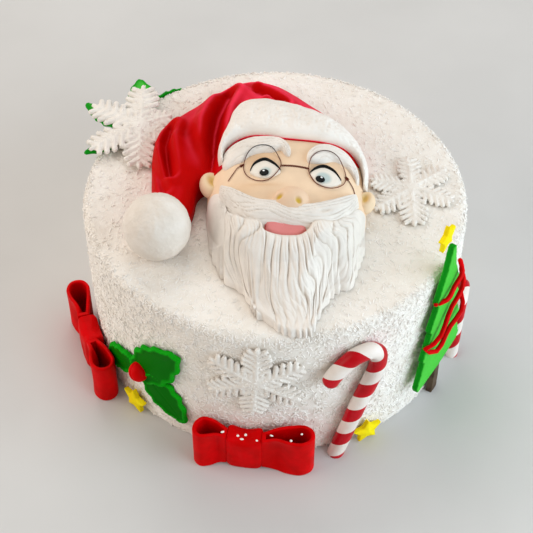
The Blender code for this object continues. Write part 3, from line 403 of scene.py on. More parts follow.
def mottled(made, factor, dark, light):
    """A colour between two by a factor."""
    ramp = linked(made, "ShaderNodeValToRGB", Fac=factor)
    for element, place, colour in zip(ramp.color_ramp.elements, MOTTLE_SPAN, (dark, light)):
        element.position = place
        element.color = (*colour, 1.0)
    return ramp.outputs["Color"]


def grained(name, colour, roughness, grain, depth, specular):
    """A paste's material with its fine powdery grain."""
    made = material(name, colour, roughness, specular)
    bump = linked(made, "ShaderNodeBump", Height=noise(made, grain, 5.0, 0.6), Distance=depth * MM,
                  Strength=1.0)
    feed(made, bump.outputs["Normal"], "Normal")
    return made


def paste(name, dark, light, roughness, grain=0.8, depth=0.06, specular=0.2):
    """Sugar paste in a slightly mottled colour."""
    made = grained(name, light, roughness, grain, depth, specular)
    feed(made, mottled(made, noise(made, MOTTLE_SIZE), dark, light), "Base Color")
    return made


def toned(name, attribute, plain, marked, roughness, grain=0.8, depth=0.06):
    """Paste whose colour goes to another where the piece's own number says so."""
    made = grained(name, plain, roughness, grain, depth, TONED_SPECULAR)
    share = linked(made, "ShaderNodeAttribute")
    share.attribute_name = attribute
    mix = made.node_tree.nodes.new("ShaderNodeMix")
    mix.data_type = "RGBA"
    factor, low, high = mix.inputs["Factor"], mix.inputs[6], mix.inputs[7]
    made.node_tree.links.new(share.outputs["Fac"], factor)
    darker = [part * TONED_DARKER for part in plain]
    made.node_tree.links.new(mottled(made, noise(made, MOTTLE_SIZE), darker, plain), low)
    high.default_value = (*marked, 1.0)
    feed(made, mix.outputs[2], "Base Color")
    return made


COCONUT = paste("coconut_cream", (0.86, 0.8, 0.73), (0.9, 0.85, 0.79), 0.9, 0.6, 0.15, 0.1)
SHREDS = paste("coconut_flakes", (0.9, 0.85, 0.79), (0.94, 0.9, 0.86), 0.9, 0.5, 0.03, 0.1)
WHITE = paste("white_sugar_paste", (0.83, 0.77, 0.71), (0.89, 0.84, 0.79), 0.62)
POMPOM = paste("pompom_sugar_paste", (0.75, 0.67, 0.59), (0.82, 0.75, 0.68), 0.6, 0.9, 0.2, 0.3)
FLAKE_WHITE = paste("snowflake_paste", (0.82, 0.76, 0.7), (0.89, 0.84, 0.78), 0.8, 0.7, 0.1)
# The hair's marked colour is painted shade in the grooves between locks.
HAIR = toned("hair_sugar_paste", "groove", (0.86, 0.8, 0.74), (0.68, 0.6, 0.52), 0.6, 0.5, 0.05)
SKIN = toned("skin_sugar_paste", "shade", (0.9, 0.68, 0.48), (0.7, 0.42, 0.22), 0.6)
NOSE_SKIN = toned("nose_sugar_paste", "inside", (0.84, 0.6, 0.42), (0.6, 0.38, 0.05), 0.6)
EAR_SKIN = toned("ear_sugar_paste", "inside", (0.88, 0.68, 0.48), (0.72, 0.5, 0.18), 0.6)
# The mouth's marked colour is painted shade at its left corner and along its upper edge, under the
# moustache.
PINK = toned("pink_sugar_paste", "corner", (0.82, 0.28, 0.27), (0.5, 0.04, 0.05), 0.5)
EYE_WHITE = toned("eye_sugar_paste", "iris", (0.86, 0.79, 0.7), (0.5, 0.58, 0.56), 0.4)
GLINT = paste("glint_white", (0.9, 0.9, 0.9), (0.95, 0.95, 0.95), 0.3)
BLACK = paste("black_sugar_paste", (0.004, 0.004, 0.004), (0.012, 0.012, 0.012), 0.5, specular=0.08)
WIRE = toned("dark_wire", "upper", (0.16, 0.035, 0.02), (0.02, 0.02, 0.024), 0.4)
RED = paste("red_sugar_paste", (0.56, 0.0, 0.0), (0.72, 0.0, 0.002), 0.5, specular=0.05)
# The hat's marked colour is a painted pink sheen, where the cloth faces the light.
HAT_RED = toned("hat_sugar_paste", "crest", (0.55, 0.0, 0.0), (0.98, 0.04, 0.1), 0.6)
# The marked green is a painted highlight on the front leaves' edges, sides and undersides.
GREEN = toned("green_sugar_paste", "rim", (0.0, 0.155, 0.0), (0.004, 0.36, 0.006), 0.6)
# The marked green is painted shade on the back leaves' edges, sides and undersides, and on the tree's
# sides.
LIGHT_GREEN = toned("light_green_sugar_paste", "rim", (0.07, 0.56, 0.05), (0.004, 0.3, 0.01), 0.55)
YELLOW = paste("yellow_sugar_paste", (0.93, 0.68, 0.006), (0.97, 0.82, 0.012), 0.6, specular=0.04)
BROWN = paste("brown_sugar_paste", (0.06, 0.035, 0.02), (0.12, 0.08, 0.05), 0.6)
CANE_WHITE = paste("cane_white_paste", (0.85, 0.75, 0.68), (0.92, 0.85, 0.79), 0.3)
CANE_RED = paste("cane_red_paste", (0.5, 0.0, 0.005), (0.6, 0.004, 0.015), 0.3, specular=0.2)
FINISHES = {
    "coconut": COCONUT, "white_paste": WHITE, "skin_paste": SKIN, "pink_paste": PINK,
    "red_paste": RED, "green_paste": GREEN, "light_green_paste": LIGHT_GREEN,
    "yellow_paste": YELLOW, "brown_paste": BROWN, "black_paste": BLACK, "wire": WIRE,
    "cane_paste": CANE_WHITE}


# The coated cake

COAT_SIDES, COAT_STEP, COAT_SEED = 440, 1.35, 3
COAT_TOP_RELIEF, COAT_WALL_RELIEF = 0.75, 0.9
COAT_LAYERS = ((12, 40, 0.5), (56, 190, 0.45), (110, 440, 0.4))
STRIP_COUNT, RIM_COUNT, RIM_SEED, DUST_SEED = 21500, 2800, 24, 23
CLEAR_DISTANCE, RIM_CLEAR_DISTANCE = 0.9, 1.6
# Seed, share on the wall, and then the length, width, thickness, lift and tilt of a strip
COCONUT_KINDS = {
    "coconut_flakes": (21, 0.88, ((1.4, 2.8), (0.6, 1.2), 0.26, (-0.05, 0.3), 0.2)),
    "coconut_crumbs": (22, 0.5, ((0.8, 1.7), (0.5, 0.9), 0.14, (-0.06, 0.04), 0.12))}
RIM_SIZES = ((1.5, 2.8), (0.5, 1.1), 0.26, (-0.1, 0.4), 0.5)
DUST_SIZES = ((0.8, 1.8), (0.5, 1.0), 0.25, (-0.1, 0.1), 0.3)


def cake_profile():
    """Radius, height and slant down the top, over the rim and down the wall."""
    line = []
    for out in np.arange(0.0, CAKE_RADIUS - RIM_ROUNDING, COAT_STEP):
        line.append((out, CAKE_HEIGHT, 90.0))
    for slant in np.arange(90.0, 0.0, -15.0):
        turn = math.radians(slant)
        line.append((CAKE_RADIUS - RIM_ROUNDING * (1 - math.cos(turn)),
                     CAKE_HEIGHT - RIM_ROUNDING * (1 - math.sin(turn)), slant))
    for height in np.arange(CAKE_HEIGHT - RIM_ROUNDING, FOOT_ROUNDING, -COAT_STEP):
        line.append((CAKE_RADIUS, height, 0.0))
    return line + [(CAKE_RADIUS, FOOT_ROUNDING, 0.0), (CAKE_RADIUS - FOOT_ROUNDING, 0.0, -45.0)]


def smooth_noise(seed, layers, shape):
    """Smooth random values over a grid that closes on itself round the cake. Each layer gives its
    cells down the grid, its cells round it and its share."""
    draw = np.random.default_rng(seed)
    rows, columns = shape
    total = np.zeros(shape)
    for cells_down, cells_round, share in layers:
        coarse = draw.random((cells_down + 1, cells_round))
        r = np.linspace(0, cells_down, rows)
        c = np.arange(columns) * cells_round / columns
        r0, c0 = np.minimum(r.astype(int), cells_down - 1), c.astype(int)
        fr, fc = eased(r - r0)[:, None], eased(c - c0)
        c1 = (c0 + 1) % cells_round
        low = coarse[r0][:, c0] * (1 - fc) + coarse[r0][:, c1] * fc
        high = coarse[r0 + 1][:, c0] * (1 - fc) + coarse[r0 + 1][:, c1] * fc
        total += share * (low * (1 - fr) + high * fr)
    return total


def coated_cake():
    """The cake with an uneven coat of cream."""
    profile = np.array(cake_profile())
    rough = smooth_noise(COAT_SEED, COAT_LAYERS, (len(profile), COAT_SIDES))
    turn = 2 * math.pi * np.arange(COAT_SIDES) / COAT_SIDES
    slant = np.radians(profile[:, 2])[:, None]
    depth = np.where(profile[:, 2] > 60, COAT_TOP_RELIEF, COAT_WALL_RELIEF)
    sink = (rough - 0.9) * (np.clip(profile[:, 0] / 30.0, 0.1, 1.0) * depth)[:, None]
    out = profile[:, :1] + sink * np.cos(slant)
    up = np.maximum(profile[:, 1:2] + sink * np.sin(slant), 0.0)
    up[-1] = 0.0
    rings = np.stack([out * np.sin(turn), -out * np.cos(turn), up], axis=2)[1:]
    points = np.vstack([rings.reshape(-1, 3), [[0, 0, CAKE_HEIGHT]]])
    centre, last = len(points) - 1, (len(rings) - 1) * COAT_SIDES
    faces = []
    for low in range(0, last, COAT_SIDES):
        faces += ring_faces(low, low + COAT_SIDES, COAT_SIDES)
    faces += [(centre, (k + 1) % COAT_SIDES, k) for k in range(COAT_SIDES)]
    faces.append(range(last, last + COAT_SIDES))
    return build("coated_cake", COCONUT, points, faces, "coconut", ["cake"])


def decoration_tree():
    """One search tree over every node but the cake."""
    parts = [(vertex_data(node.data)[0], [face.vertices for face in node.data.polygons])
             for name, node in frame["nodes"].items() if name != "cake"]
    points, faces = joined(parts)
    return BVHTree.FromPolygons(points.tolist(), faces)


def clear_of(tree, places, distance):
    """Which places lie further than the distance from all that is in the tree."""
    return np.array([tree.find_nearest(Vector(place), distance)[0] is None for place in places])


def coconut(name, seed, wall_share, sizes, keep_off, cake):
    """Flakes of coconut on the top and the wall, kept off the decorations."""
    draw = np.random.default_rng(seed)
    over = (draw.random(STRIP_COUNT) > wall_share)[:, None]
    turn = draw.random(STRIP_COUNT) * 2 * math.pi
    out = np.sqrt(draw.random(STRIP_COUNT)) * (CAKE_RADIUS - 0.6)
    height = draw.random(STRIP_COUNT) * (CAKE_HEIGHT - 3.0) + 0.8
    past_rim = np.maximum(out - (CAKE_RADIUS - RIM_ROUNDING), 0.0)
    aside, up = outward_at(turn), np.array([0.0, 0.0, 1.0])
    places = np.where(over, aside * out[:, None] + up * (CAKE_HEIGHT - 0.35 * past_rim)[:, None],
                      aside * CAKE_RADIUS + up * height[:, None])
    outward = unit(np.where(over, up + aside * past_rim[:, None] * 0.25, aside))
    clear = clear_of(keep_off, places, CLEAR_DISTANCE)
    nearest = [cake.find_nearest(Vector(place * MM)) for place in places[clear]]
    places = np.array([found[0] for found in nearest]) / MM
    outward = unit(outward[clear] + np.array([found[1] for found in nearest]))
    strips(name, draw, places, outward, *sizes)


def strips(name, draw, places, outward, length, width, thick, lift, tilt):
    """Short strips of coconut that lie at random on a surface, tilted by up to about the tilt."""
    count = len(places)
    side = unit(np.cross(outward, (0.31, 0.52, 0.8)))
    spin, pitch = draw.random(count) * 2 * math.pi, draw.normal(0.0, tilt, count)
    flat = side * np.cos(spin)[:, None] + np.cross(outward, side) * np.sin(spin)[:, None]
    along = flat * np.cos(pitch)[:, None] + outward * np.sin(pitch)[:, None]
    across = unit(np.cross(outward, along))
    upward = np.cross(along, across)
    half = 0.5 * draw.uniform(*length, count)[:, None]
    wide = 0.5 * draw.uniform(*width, count)[:, None]
    middle = places + outward * draw.uniform(*lift, count)[:, None]
    corners = []
    for end, spread in ((-1, 0.55), (1, 0.8)):
        centre = middle + along * half * end
        corners += [centre - across * wide * spread, centre + upward * thick,
                    centre + across * wide * spread]
    points = np.stack(corners, 1).reshape(-1, 3)
    points[:, 2] = np.maximum(points[:, 2], 0.0)
    shape = ((0, 1, 4, 3), (1, 2, 5, 4), (2, 0, 3, 5), (0, 2, 1), (3, 4, 5))
    faces = [[6 * k + i for i in face] for k in range(count) for face in shape]
    return build(name, SHREDS, points, faces, "coconut", sharp=20.0)


def coconut_rim(keep_off):
    """Flakes that stand out round the cake's rounded rim."""
    draw = np.random.default_rng(RIM_SEED)
    turn = draw.random(RIM_COUNT) * 2 * math.pi
    slant = draw.uniform(0.1, 1.4, RIM_COUNT)
    outward = np.cos(slant)[:, None] * outward_at(turn)
    outward[:, 2] = np.sin(slant)
    ring = (CAKE_RADIUS - RIM_ROUNDING) * outward_at(turn)
    ring[:, 2] = CAKE_HEIGHT - RIM_ROUNDING
    places = ring + outward * (RIM_ROUNDING - 0.3)
    clear = clear_of(keep_off, places, RIM_CLEAR_DISTANCE)
    strips("coconut_rim", draw, places[clear], outward[clear], *RIM_SIZES)


def coconut_dust():
    """Crumbs of coconut that cling to the snowflakes, more of them near the middle."""
    draw = np.random.default_rng(DUST_SEED)
    places, normals = [], []
    for node in ("snowflake_left", "snowflake_right", "snowflake_front", "snowflake_back"):
        points, outward = vertex_data(bpy.data.objects[node + "_paste"].data)
        away = np.linalg.norm(points - points.mean(0), axis=1)
        keep = np.nonzero(draw.random(len(points)) < 0.035 * np.exp(-away / 22.0) + 0.012)[0]
        places.append(points[keep])
        normals.append(outward[keep])
    strips("coconut_dust", draw, np.concatenate(places), np.concatenate(normals), *DUST_SIZES)


def coconut_coating(coated):
    keep_off = decoration_tree()
    cake, = search_trees([coated])
    for name, (seed, wall_share, sizes) in COCONUT_KINDS.items():
        coconut(name, seed, wall_share, sizes, keep_off, cake)
    coconut_rim(keep_off)


# The face

HEAD_CENTRE = (6.0, -10.0)
HEAD_HALF_WIDTH, HEAD_TO_CROWN, HEAD_TO_CHIN, HEAD_THICKNESS = 42.0, 64.0, 58.0, 27.0
HEAD_OUTLINE_POWER, HEAD_FLATNESS, HEAD_SHOULDER = 2.5, 2.8, 2.2
HEAD_SIDES, HEAD_RINGS = 180, 80
# Middle, half width, half height and rise
HEAD_RELIEF = [((-5.4, -4.0), 9.0, 5.0, -0.7), ((26.0, -8.0), 9.0, 5.0, -0.7),
               ((-4.0, -21.4), 9.0, 1.2, -0.45), ((28.0, -26.4), 9.0, 1.2, -0.4),
               ((-12.0, -25.0), 8.0, 4.5, 0.7), ((33.0, -28.0), 7.0, 4.5, 0.6)]
# Middle, half width, half height, turn and strength of the tan
SKIN_SHADES = [((-6.0, -3.0), 9.0, 4.6, -6.0, 0.75), ((26.0, -6.4), 9.0, 4.2, -14.0, 0.5),
               ((-5.0, -22.6), 10.0, 1.4, -4.0, 0.4), ((-14.0, -24.0), 10.0, 6.0, 0.0, 0.3),
               ((28.0, -28.0), 9.0, 5.0, 8.0, 0.2), ((-2.0, -52.0), 10.0, 5.0, 0.0, 0.2)]
NOSE_CENTRE, NOSE_HEIGHT, NOSE_RADII = (7.8, -35.6), 27.0, (9.2, 8.2, 7.6)
NOSTRILS = [(1.9, -37.2), (11.3, -39.9)]
EARS = {
    "ear_left": ((-33.6, -7.2, 10.5), (6.2, 8.4, 6.0), 14.0),
    "ear_right": ((47.2, -18.4, 9.0), (4.9, 6.6, 5.6), -16.0)}
EAR_FOLD = 3.4


def head_height(x, y):
    """How high the head stands over the cake's top at each point."""
    power = HEAD_OUTLINE_POWER
    across = np.abs(x - HEAD_CENTRE[0]) / HEAD_HALF_WIDTH
    down = np.abs(y - HEAD_CENTRE[1]) / np.where(y > HEAD_CENTRE[1], HEAD_TO_CROWN, HEAD_TO_CHIN)
    out = np.minimum((across ** power + down ** power) ** (1 / power), 1.0)
    return HEAD_THICKNESS * (1 - out ** HEAD_FLATNESS) ** (1 / HEAD_SHOULDER)


def head():
    power, sides = HEAD_OUTLINE_POWER, HEAD_SIDES
    slant = 0.5 * math.pi * (1 - np.arange(HEAD_RINGS) / HEAD_RINGS)[:, None]
    turn = 2 * math.pi * np.arange(sides)[None, :] / sides
    c, s = np.cos(turn), np.sin(turn)
    reach = np.sin(slant) ** (2 / HEAD_FLATNESS) / (np.abs(c) ** power + np.abs(s) ** power) ** (1 / power)
    x = HEAD_CENTRE[0] + HEAD_HALF_WIDTH * c * reach
    y = HEAD_CENTRE[1] + np.where(s > 0, HEAD_TO_CROWN, HEAD_TO_CHIN) * s * reach
    z = HEAD_THICKNESS * np.cos(slant) ** (2 / HEAD_SHOULDER) + 0 * x
    for *where, rise in HEAD_RELIEF:
        z = z + rise * spot(x, y, *where)
    points = np.vstack([on_top(x, y, z).reshape(-1, 3), on_top(*HEAD_CENTRE, HEAD_THICKNESS)])
    last = (HEAD_RINGS - 1) * sides
    faces = []
    for low in range(0, last, sides):
        faces += ring_faces(low, low + sides, sides)
    faces += [(last + k, last + (k + 1) % sides, len(points) - 1) for k in range(sides)]
    faces.append(range(sides))
    piece = build("head_paste", SKIN, points, faces, "skin_paste", ["head"])
    shade = sum(depth * spot(points[:, 0], points[:, 1], *where) for *where, depth in SKIN_SHADES)
    tone(piece, "shade", np.clip(shade, 0.0, 1.0))


def ears():
    for name, (middle, radii, turn) in EARS.items():
        points, faces = ball((0.0, 0.0, 0.0), radii, 64, 40)
        side = -1.0 if middle[0] < HEAD_CENTRE[0] else 1.0
        u, v = points[:, 0] / radii[0], points[:, 1] / radii[1]
        fold = spot(u, v, (-0.1 * side, -0.05), 0.42, 0.5) * (points[:, 2] > 0)
        points[:, 2] -= EAR_FOLD * fold
        points = turned(points, turn) + on_top(*middle)
        piece = build(name + "_paste", EAR_SKIN, points, faces, "skin_paste", [name])
        tone(piece, "inside", np.clip(fold * (points[:, 2] > on_top(*middle)[2]) * 1.2, 0, 1))


def nose():
    points, faces = ball(on_top(*NOSE_CENTRE, NOSE_HEIGHT), NOSE_RADII, 96, 64)
    upper = points[:, 2] > CAKE_HEIGHT + NOSE_HEIGHT
    inside = np.zeros(len(points))
    for x, y in NOSTRILS:
        away = np.hypot((points[:, 0] - x) / 1.25, (points[:, 1] - y) / 1.1)
        dip = np.exp(-(away / 1.25) ** 4) * upper
        rim = np.exp(-((away - 1.9) / 0.5) ** 2) * upper
        points[:, 2] += 0.18 * rim - dip
        inside = np.maximum(inside, dip)
    piece = build("nose_paste", NOSE_SKIN, points, faces, "skin_paste", ["nose"])
    tone(piece, "inside", inside)


def on_face(name, finish, slot, lines, along, across, lift, top, replaced):
    """A piece that lies on the head and follows it."""
    near, far = lines
    return patch(name, finish, slot, near, far, crowded(along), crowded(across),
                 lambda s, t, x, y: head_height(x, y) + lift + top(s, t, x, y),
                 lambda s, t, x, y: head_height(x, y) - 0.4, on_top, replaced)


EYE_LEFT_LINES = (
    [(-13.1, -14.2), (-9.2, -17.4), (-5.0, -18.5), (-0.7, -17.2), (2.6, -14.7)],
    [(-13.1, -13.0), (-11.1, -8.6), (-5.6, -5.7), (-0.7, -9.1), (2.6, -13.6)])
EYE_RIGHT_LINES = (
    [(17.7, -16.6), (21.5, -22.0), (26.9, -23.3), (31.2, -21.1), (33.8, -18.4)],
    [(17.7, -15.4), (20.5, -12.3), (24.9, -10.0), (30.3, -12.1), (33.8, -17.2)])
EYE_THICKNESS, LID_WIDTH, LID_THICKNESS = 1.1, 1.6, 1.5
PUPIL_RADIUS, GLINT_RADIUS, DISC_HALF_THICKNESS = 2.4, 0.6, 0.4
# The eye's lines, the middles of its pupil, iris and glint, and the iris's radius
EYES = {
    "left": (EYE_LEFT_LINES, (-5.8, -15.7), (-5.0, -14.4), (-6.1, -14.7), 3.6),
    "right": (EYE_RIGHT_LINES, (22.8, -19.9), (24.8, -18.2), (23.5, -18.9), 4.6)}


def lid_edge(lid, shift):
    """The lid's line, moved up by a shift that tapers to its ends."""
    def line(s):
        plan = lid(s)
        plan[:, 1] += shift * (0.28 + 0.72 * rounded(s) ** 1.5)
        return plan
    return line


def eyes():
    def swell(s, t, x, y):
        return EYE_THICKNESS * from_edge(s, t, 16.0, 9.0, 3.0) * 0.9 + 0.25

    for side, (lines, pupil, iris, glint, iris_radius) in EYES.items():
        lower, upper = [smooth_line(line) for line in lines]
        eye = on_face("eyeball_" + side, EYE_WHITE, "white_paste", [lower, upper], 60, 40, GAP, swell,
                      ["eye_" + side])
        places = vertex_data(eye.data)[0]
        away = np.hypot(places[:, 0] - iris[0], places[:, 1] - iris[1])
        tone(eye, "iris", np.clip((iris_radius - away) / 1.8, 0.0, 1.0))
        patch("lid_line_" + side, BLACK, "black_paste", lid_edge(upper, -0.35), lid_edge(upper, LID_WIDTH),
              np.linspace(0, 1, 60), crowded(10),
              lambda s, t, x, y: head_height(x, y) + 0.7 + (LID_THICKNESS - 0.2) * rounded(t) ** 0.8,
              lambda s, t, x, y: head_height(x, y) - 0.2, on_top, ["lid_" + side])
        for name, centre, radius, lift, finish, slot, replaced in (
                ("pupil_disc_", pupil, PUPIL_RADIUS, 0.42, BLACK, "black_paste", ["pupil_" + side]),
                ("glint_", glint, GLINT_RADIUS, 0.66, GLINT, "white_paste", [])):
            points, faces = ball((*centre, 0.0), (radius, radius, DISC_HALF_THICKNESS), 40, 12)
            x, y, z = points.T
            z = head_height(x, y) + GAP + EYE_THICKNESS + lift + z
            build(name + side, finish, on_top(x, y, z), faces, slot, replaced)


MOUTH_LINES = (
    [(-5.6, -51.0), (0.9, -54.2), (6.2, -54.8), (12.0, -54.0), (15.2, -51.0)],
    [(-5.6, -47.0), (0.9, -46.0), (6.5, -46.6), (11.0, -47.4), (15.2, -48.4)])
MOUTH_THICKNESS = 2.0


def mouth():
    def top(s, t, x, y):
        edge = from_edge(s, t, 20.0, 8.0, 2.2)
        return MOUTH_THICKNESS * edge + 0.2 * np.sin(9 * s) * edge
    lips = on_face("lip_paste", PINK, "pink_paste", [smooth_line(line) for line in MOUTH_LINES], 60, 30,
                   0.1, top, ["mouth"])
    s, t = np.meshgrid(crowded(60), crowded(30), indexing="ij")
    # Painted shade: darker at the left corner and along the upper edge, under the moustache.
    dark = np.clip(1.3 - np.minimum(2.4 * s * 9, (1 - t) * 8) / 0.9, 0.0, 1.0).ravel()
    tone(lips, "corner", np.concatenate([dark, dark]))


# Hair

BROW_LEFT_LINES = (
    [(-27.4, -7.0), (-21.5, -4.8), (-17.0, -4.0), (-13.8, -0.8), (-7.4, 1.2), (-1.3, 1.2),
     (2.4, 2.4), (5.6, -3.2)],
    [(-28.4, 3.5), (-26.6, 8.0), (-21.5, 12.2), (-14.5, 13.8), (-5.0, 13.6), (3.2, 11.4),
     (7.6, 5.0), (8.6, -1.4)])
BROW_RIGHT_LINES = (
    [(18.4, -7.4), (24.3, -6.0), (31.4, -3.2), (36.4, -4.6), (40.0, -8.4), (42.4, -14.0)],
    [(15.7, -6.0), (17.3, 1.6), (22.2, 7.2), (29.3, 8.6), (37.4, 6.4), (43.0, 0.0), (44.4, -9.0)])
BROW_THICKNESS = 3.4
MOUSTACHE_LINES = (
    [(-29.0, -16.6), (-20.0, -24.6), (-13.9, -30.2), (-7.9, -34.0), (-0.8, -35.7), (8.4, -37.4),
     (18.7, -36.9), (27.8, -33.0), (35.8, -27.7), (42.4, -22.4)],
    [(-29.6, -26.0), (-23.4, -39.4), (-17.0, -46.0), (-9.0, -49.0), (0.9, -48.6), (11.0, -50.2),
     (21.4, -50.8), (30.3, -47.2), (36.2, -40.1), (43.0, -27.4)])
MOUSTACHE_THICKNESS = 6.0
BEARD_ROOT = [(-37.0, -16.8), (-33.4, -17.4), (-30.8, -20.4), (-30.0, -27.6), (-25.0, -37.4),
              (-15.6, -45.0), (-7.2, -48.6), (-6.4, -51.8), (-0.4, -55.2), (6.2, -56.0),
              (12.8, -55.2), (16.6, -51.8), (18.4, -48.6), (28.4, -45.2), (36.6, -36.6),
              (42.4, -29.0), (47.0, -25.8)]
BEARD_TIPS = [(-34.0, -46.0), (-31.8, -54.0), (-28.0, -61.6), (-22.8, -68.4), (-17.6, -73.4),
              (-14.2, -80.0), (-11.0, -87.0), (-3.4, -94.6), (4.0, -100.4), (11.0, -101.8),
              (16.6, -100.6), (19.6, -93.6), (22.2, -87.0), (26.4, -79.4), (31.4, -73.0),
              (37.4, -70.2), (42.4, -58.6), (46.4, -45.0)]
BEARD_MIDDLE, BEARD_THICKNESS = (8.0, -40.0), 4.2
BEARD_LOCKS, BEARD_GROOVES, BEARD_SLOPE = 23, 1.5, 25.0
HAIR_SHARP = 80.0
BROW_SEED, MOUSTACHE_SEED, BEARD_SEED, BEARD_TIPS_SEED = 51, 43, 31, 12
# Locks for each lock of the broadest kind, share of the depth, and how flat their tops are
LOCK_LAYERS = ((1.0, 1.0, 4.5), (2.3, 0.4, 2.5), (5.2, 0.16, 2.0))


def combed(u, t, seed, least):
    """Hair combed along t: grooves of uneven width that come and go between broad locks. A groove
    keeps at least a share of its depth."""
    total = np.zeros(u.shape)
    for k, (count, share, flatness) in enumerate(LOCK_LAYERS):
        places = np.stack([0.4 * count * u, 1.9 * t, 0 * u + 3.7 * k], -1).reshape(-1, 3)
        bend = value_noise(places, seed).reshape(u.shape)
        places = np.stack([count * u, 3.6 * t, 0 * u + 7.3 * k], -1).reshape(-1, 3)
        fade = value_noise(places, seed + 1).reshape(u.shape)
        wave = ridges(count * u + 2.4 * bend, flatness) - 0.8
        total += share * wave * np.clip(1.5 * fade, least, 1.0)
    return total


def shade_hair_grooves(piece, hair):
    """Paints shade into the grooves between locks. The piece's top comes first, its underside has none."""
    depth = np.clip(-(hair + 0.12) / 0.9, 0.0, 1.0).ravel()
    tone(piece, "groove", np.concatenate([depth, 0 * depth]))


def round_ended(lines):
    """Two lines that close in a round end at both ends."""
    near, far = [smooth_line(line) for line in lines]

    def closed(line):
        def place(s):
            middle = 0.5 * (near(s) + far(s))
            past = np.clip(np.abs(2 * s - 1) - 0.84, 0.0, 0.16) / 0.16
            return middle + (line(s) - middle) * np.sqrt(1.0001 - past ** 2)[:, None]
        return place
    return closed(near), closed(far)


def brows():
    for name, lines in (("eyebrow_left", BROW_LEFT_LINES), ("eyebrow_right", BROW_RIGHT_LINES)):
        locks = []

        def top(s, t, x, y):
            hair = 0.7 * combed(5.0 * t + 0.8 * s, 2.0 * s, BROW_SEED, 0.5)
            locks.append(hair)
            body = 0.9 + (BROW_THICKNESS - 0.9) * rounded(t) * (0.55 + 0.45 * rounded(s))
            edge = from_edge(s, t, 40.0, 10.0, 2.2)
            return (body + hair * edge * rounded(s)) * edge
        piece = on_face(name + "_hair", HAIR, "white_paste", round_ended(lines), 120, 50, 0.1, top,
                        [name])
        shade_hair_grooves(piece, locks[0])


def moustache():
    near, lower = smooth_line(MOUSTACHE_LINES[0]), smooth_line(MOUSTACHE_LINES[1])
    locks = []

    def far(s):
        """The lower edge, where the locks end unevenly."""
        line = lower(s)
        line[:, 1] += 0.5 * np.sin(40 * s + 6 * np.sin(5 * s)) * np.clip(4 * s * (1 - s) * 3, 0.0, 1.0)
        return line

    def top(s, t, x, y):
        across = 8.0 * t ** 1.2 + 0.6 * np.sin(6 * s)
        hair = (0.7 + 0.6 * t) * combed(across, 3.0 * s, MOUSTACHE_SEED, 0.6)
        edge = rolled(np.minimum(np.minimum(s, 1 - s) * 31.0, np.minimum(t * 5.0, (1 - t) * 2.3)))
        body = 2.2 + (MOUSTACHE_THICKNESS - 2.2) * rounded(t) * (0.5 + 0.5 * rounded(s))
        locks.append(hair)
        return head_height(x, y) - 0.6 + (body + 0.6) * edge + hair * from_edge(s, t, 80.0, 13.0, 1.0)
    piece = patch("moustache_hair", HAIR, "white_paste", near, far, np.linspace(0, 1, 240),
                  crowded(70), top, 8.0, on_top, ["moustache"], HAIR_SHARP)
    shade_hair_grooves(piece, locks[0])


def beard():
    root_line, tips = smooth_line(BEARD_ROOT), smooth_line(BEARD_TIPS)
    locks = []

    def root(s):
        """The root, tucked under the moustache's left end."""
        line = root_line(s)
        tucked = spot(line[:, 0], line[:, 1], (-28.5, -28.0), 5.0, 9.0)
        return line + np.outer(tucked, (3.4, 1.0))

    def ends(s):
        """The tips, where the locks end unevenly."""
        line = tips(s)
        out = unit(line - BEARD_MIDDLE)
        uneven = value_noise(np.stack([14 * s, 0 * s, 0 * s], -1), BEARD_TIPS_SEED)
        lock = ridges(1.2 * BEARD_LOCKS * s + 2.4 * uneven, 1.3) * (0.4 + 0.9 * uneven)
        return line + out * (2.1 * lock - 1.2)[:, None]

    def top(s, t, x, y):
        lengths = np.linalg.norm(tips(s[:, 0]) - root(s[:, 0]), axis=1)[:, None]
        run = t * lengths
        inward = np.minimum(np.minimum(s, 1 - s) * 90.0, (1 - t) * lengths)
        rim = rolled(np.minimum(inward / 2.4, run / 3.0))
        full = 0.3 + 0.7 * np.clip(run / 9.0, 0.0, 1.0)
        slope = 4.0 + 17.0 * np.clip((y + 101.0) / 45.0, 0.0, 1.0)
        share = np.clip(inward / BEARD_SLOPE, 0.0, 1.0)
        over_head = head_height(x, y) + BEARD_THICKNESS * rim * full
        over_cake = 1.0 * rim + slope * share * (1.3 - 0.3 * share)
        smoother = np.clip(0.25 + (x + 30.0) / 12.0, 0.25, 1.0) * np.clip((46.0 - x) / 10.0, 0.4, 1.0)
        waves = 0.016 * np.sin(7 * t + 9 * s) + 0.005 * np.sin(15 * t + 23 * s)
        bowed = 0.5 + (s - 0.5) * (1 - 0.2 * np.sin(math.pi * t)) + waves
        fade = (0.5 + 0.5 * np.clip(inward / 10.0, 0.0, 1.0)) * np.clip(run / 5.0, 0.2, 1.0)
        hair = combed(BEARD_LOCKS * bowed, t, BEARD_SEED, 0.15) * fade * smoother
        # The groove tone also gets a painted shadow along the root, where the beard goes under the
        # moustache and the mouth.
        locks.append(1.3 * hair - 0.8 * np.exp(-(run / 1.8) ** 2) * (np.abs(x - 6.0) < 34.0))
        return (over_head ** 4 + over_cake ** 4) ** 0.25 + BEARD_GROOVES * hair * rim
    piece = patch("beard_hair", HAIR, "white_paste", root, ends, np.linspace(0, 1, 400),
                  np.linspace(0, 1, 100), top, 0.0, on_top, ["beard"], HAIR_SHARP)
    shade_hair_grooves(piece, locks[0])


# The hat

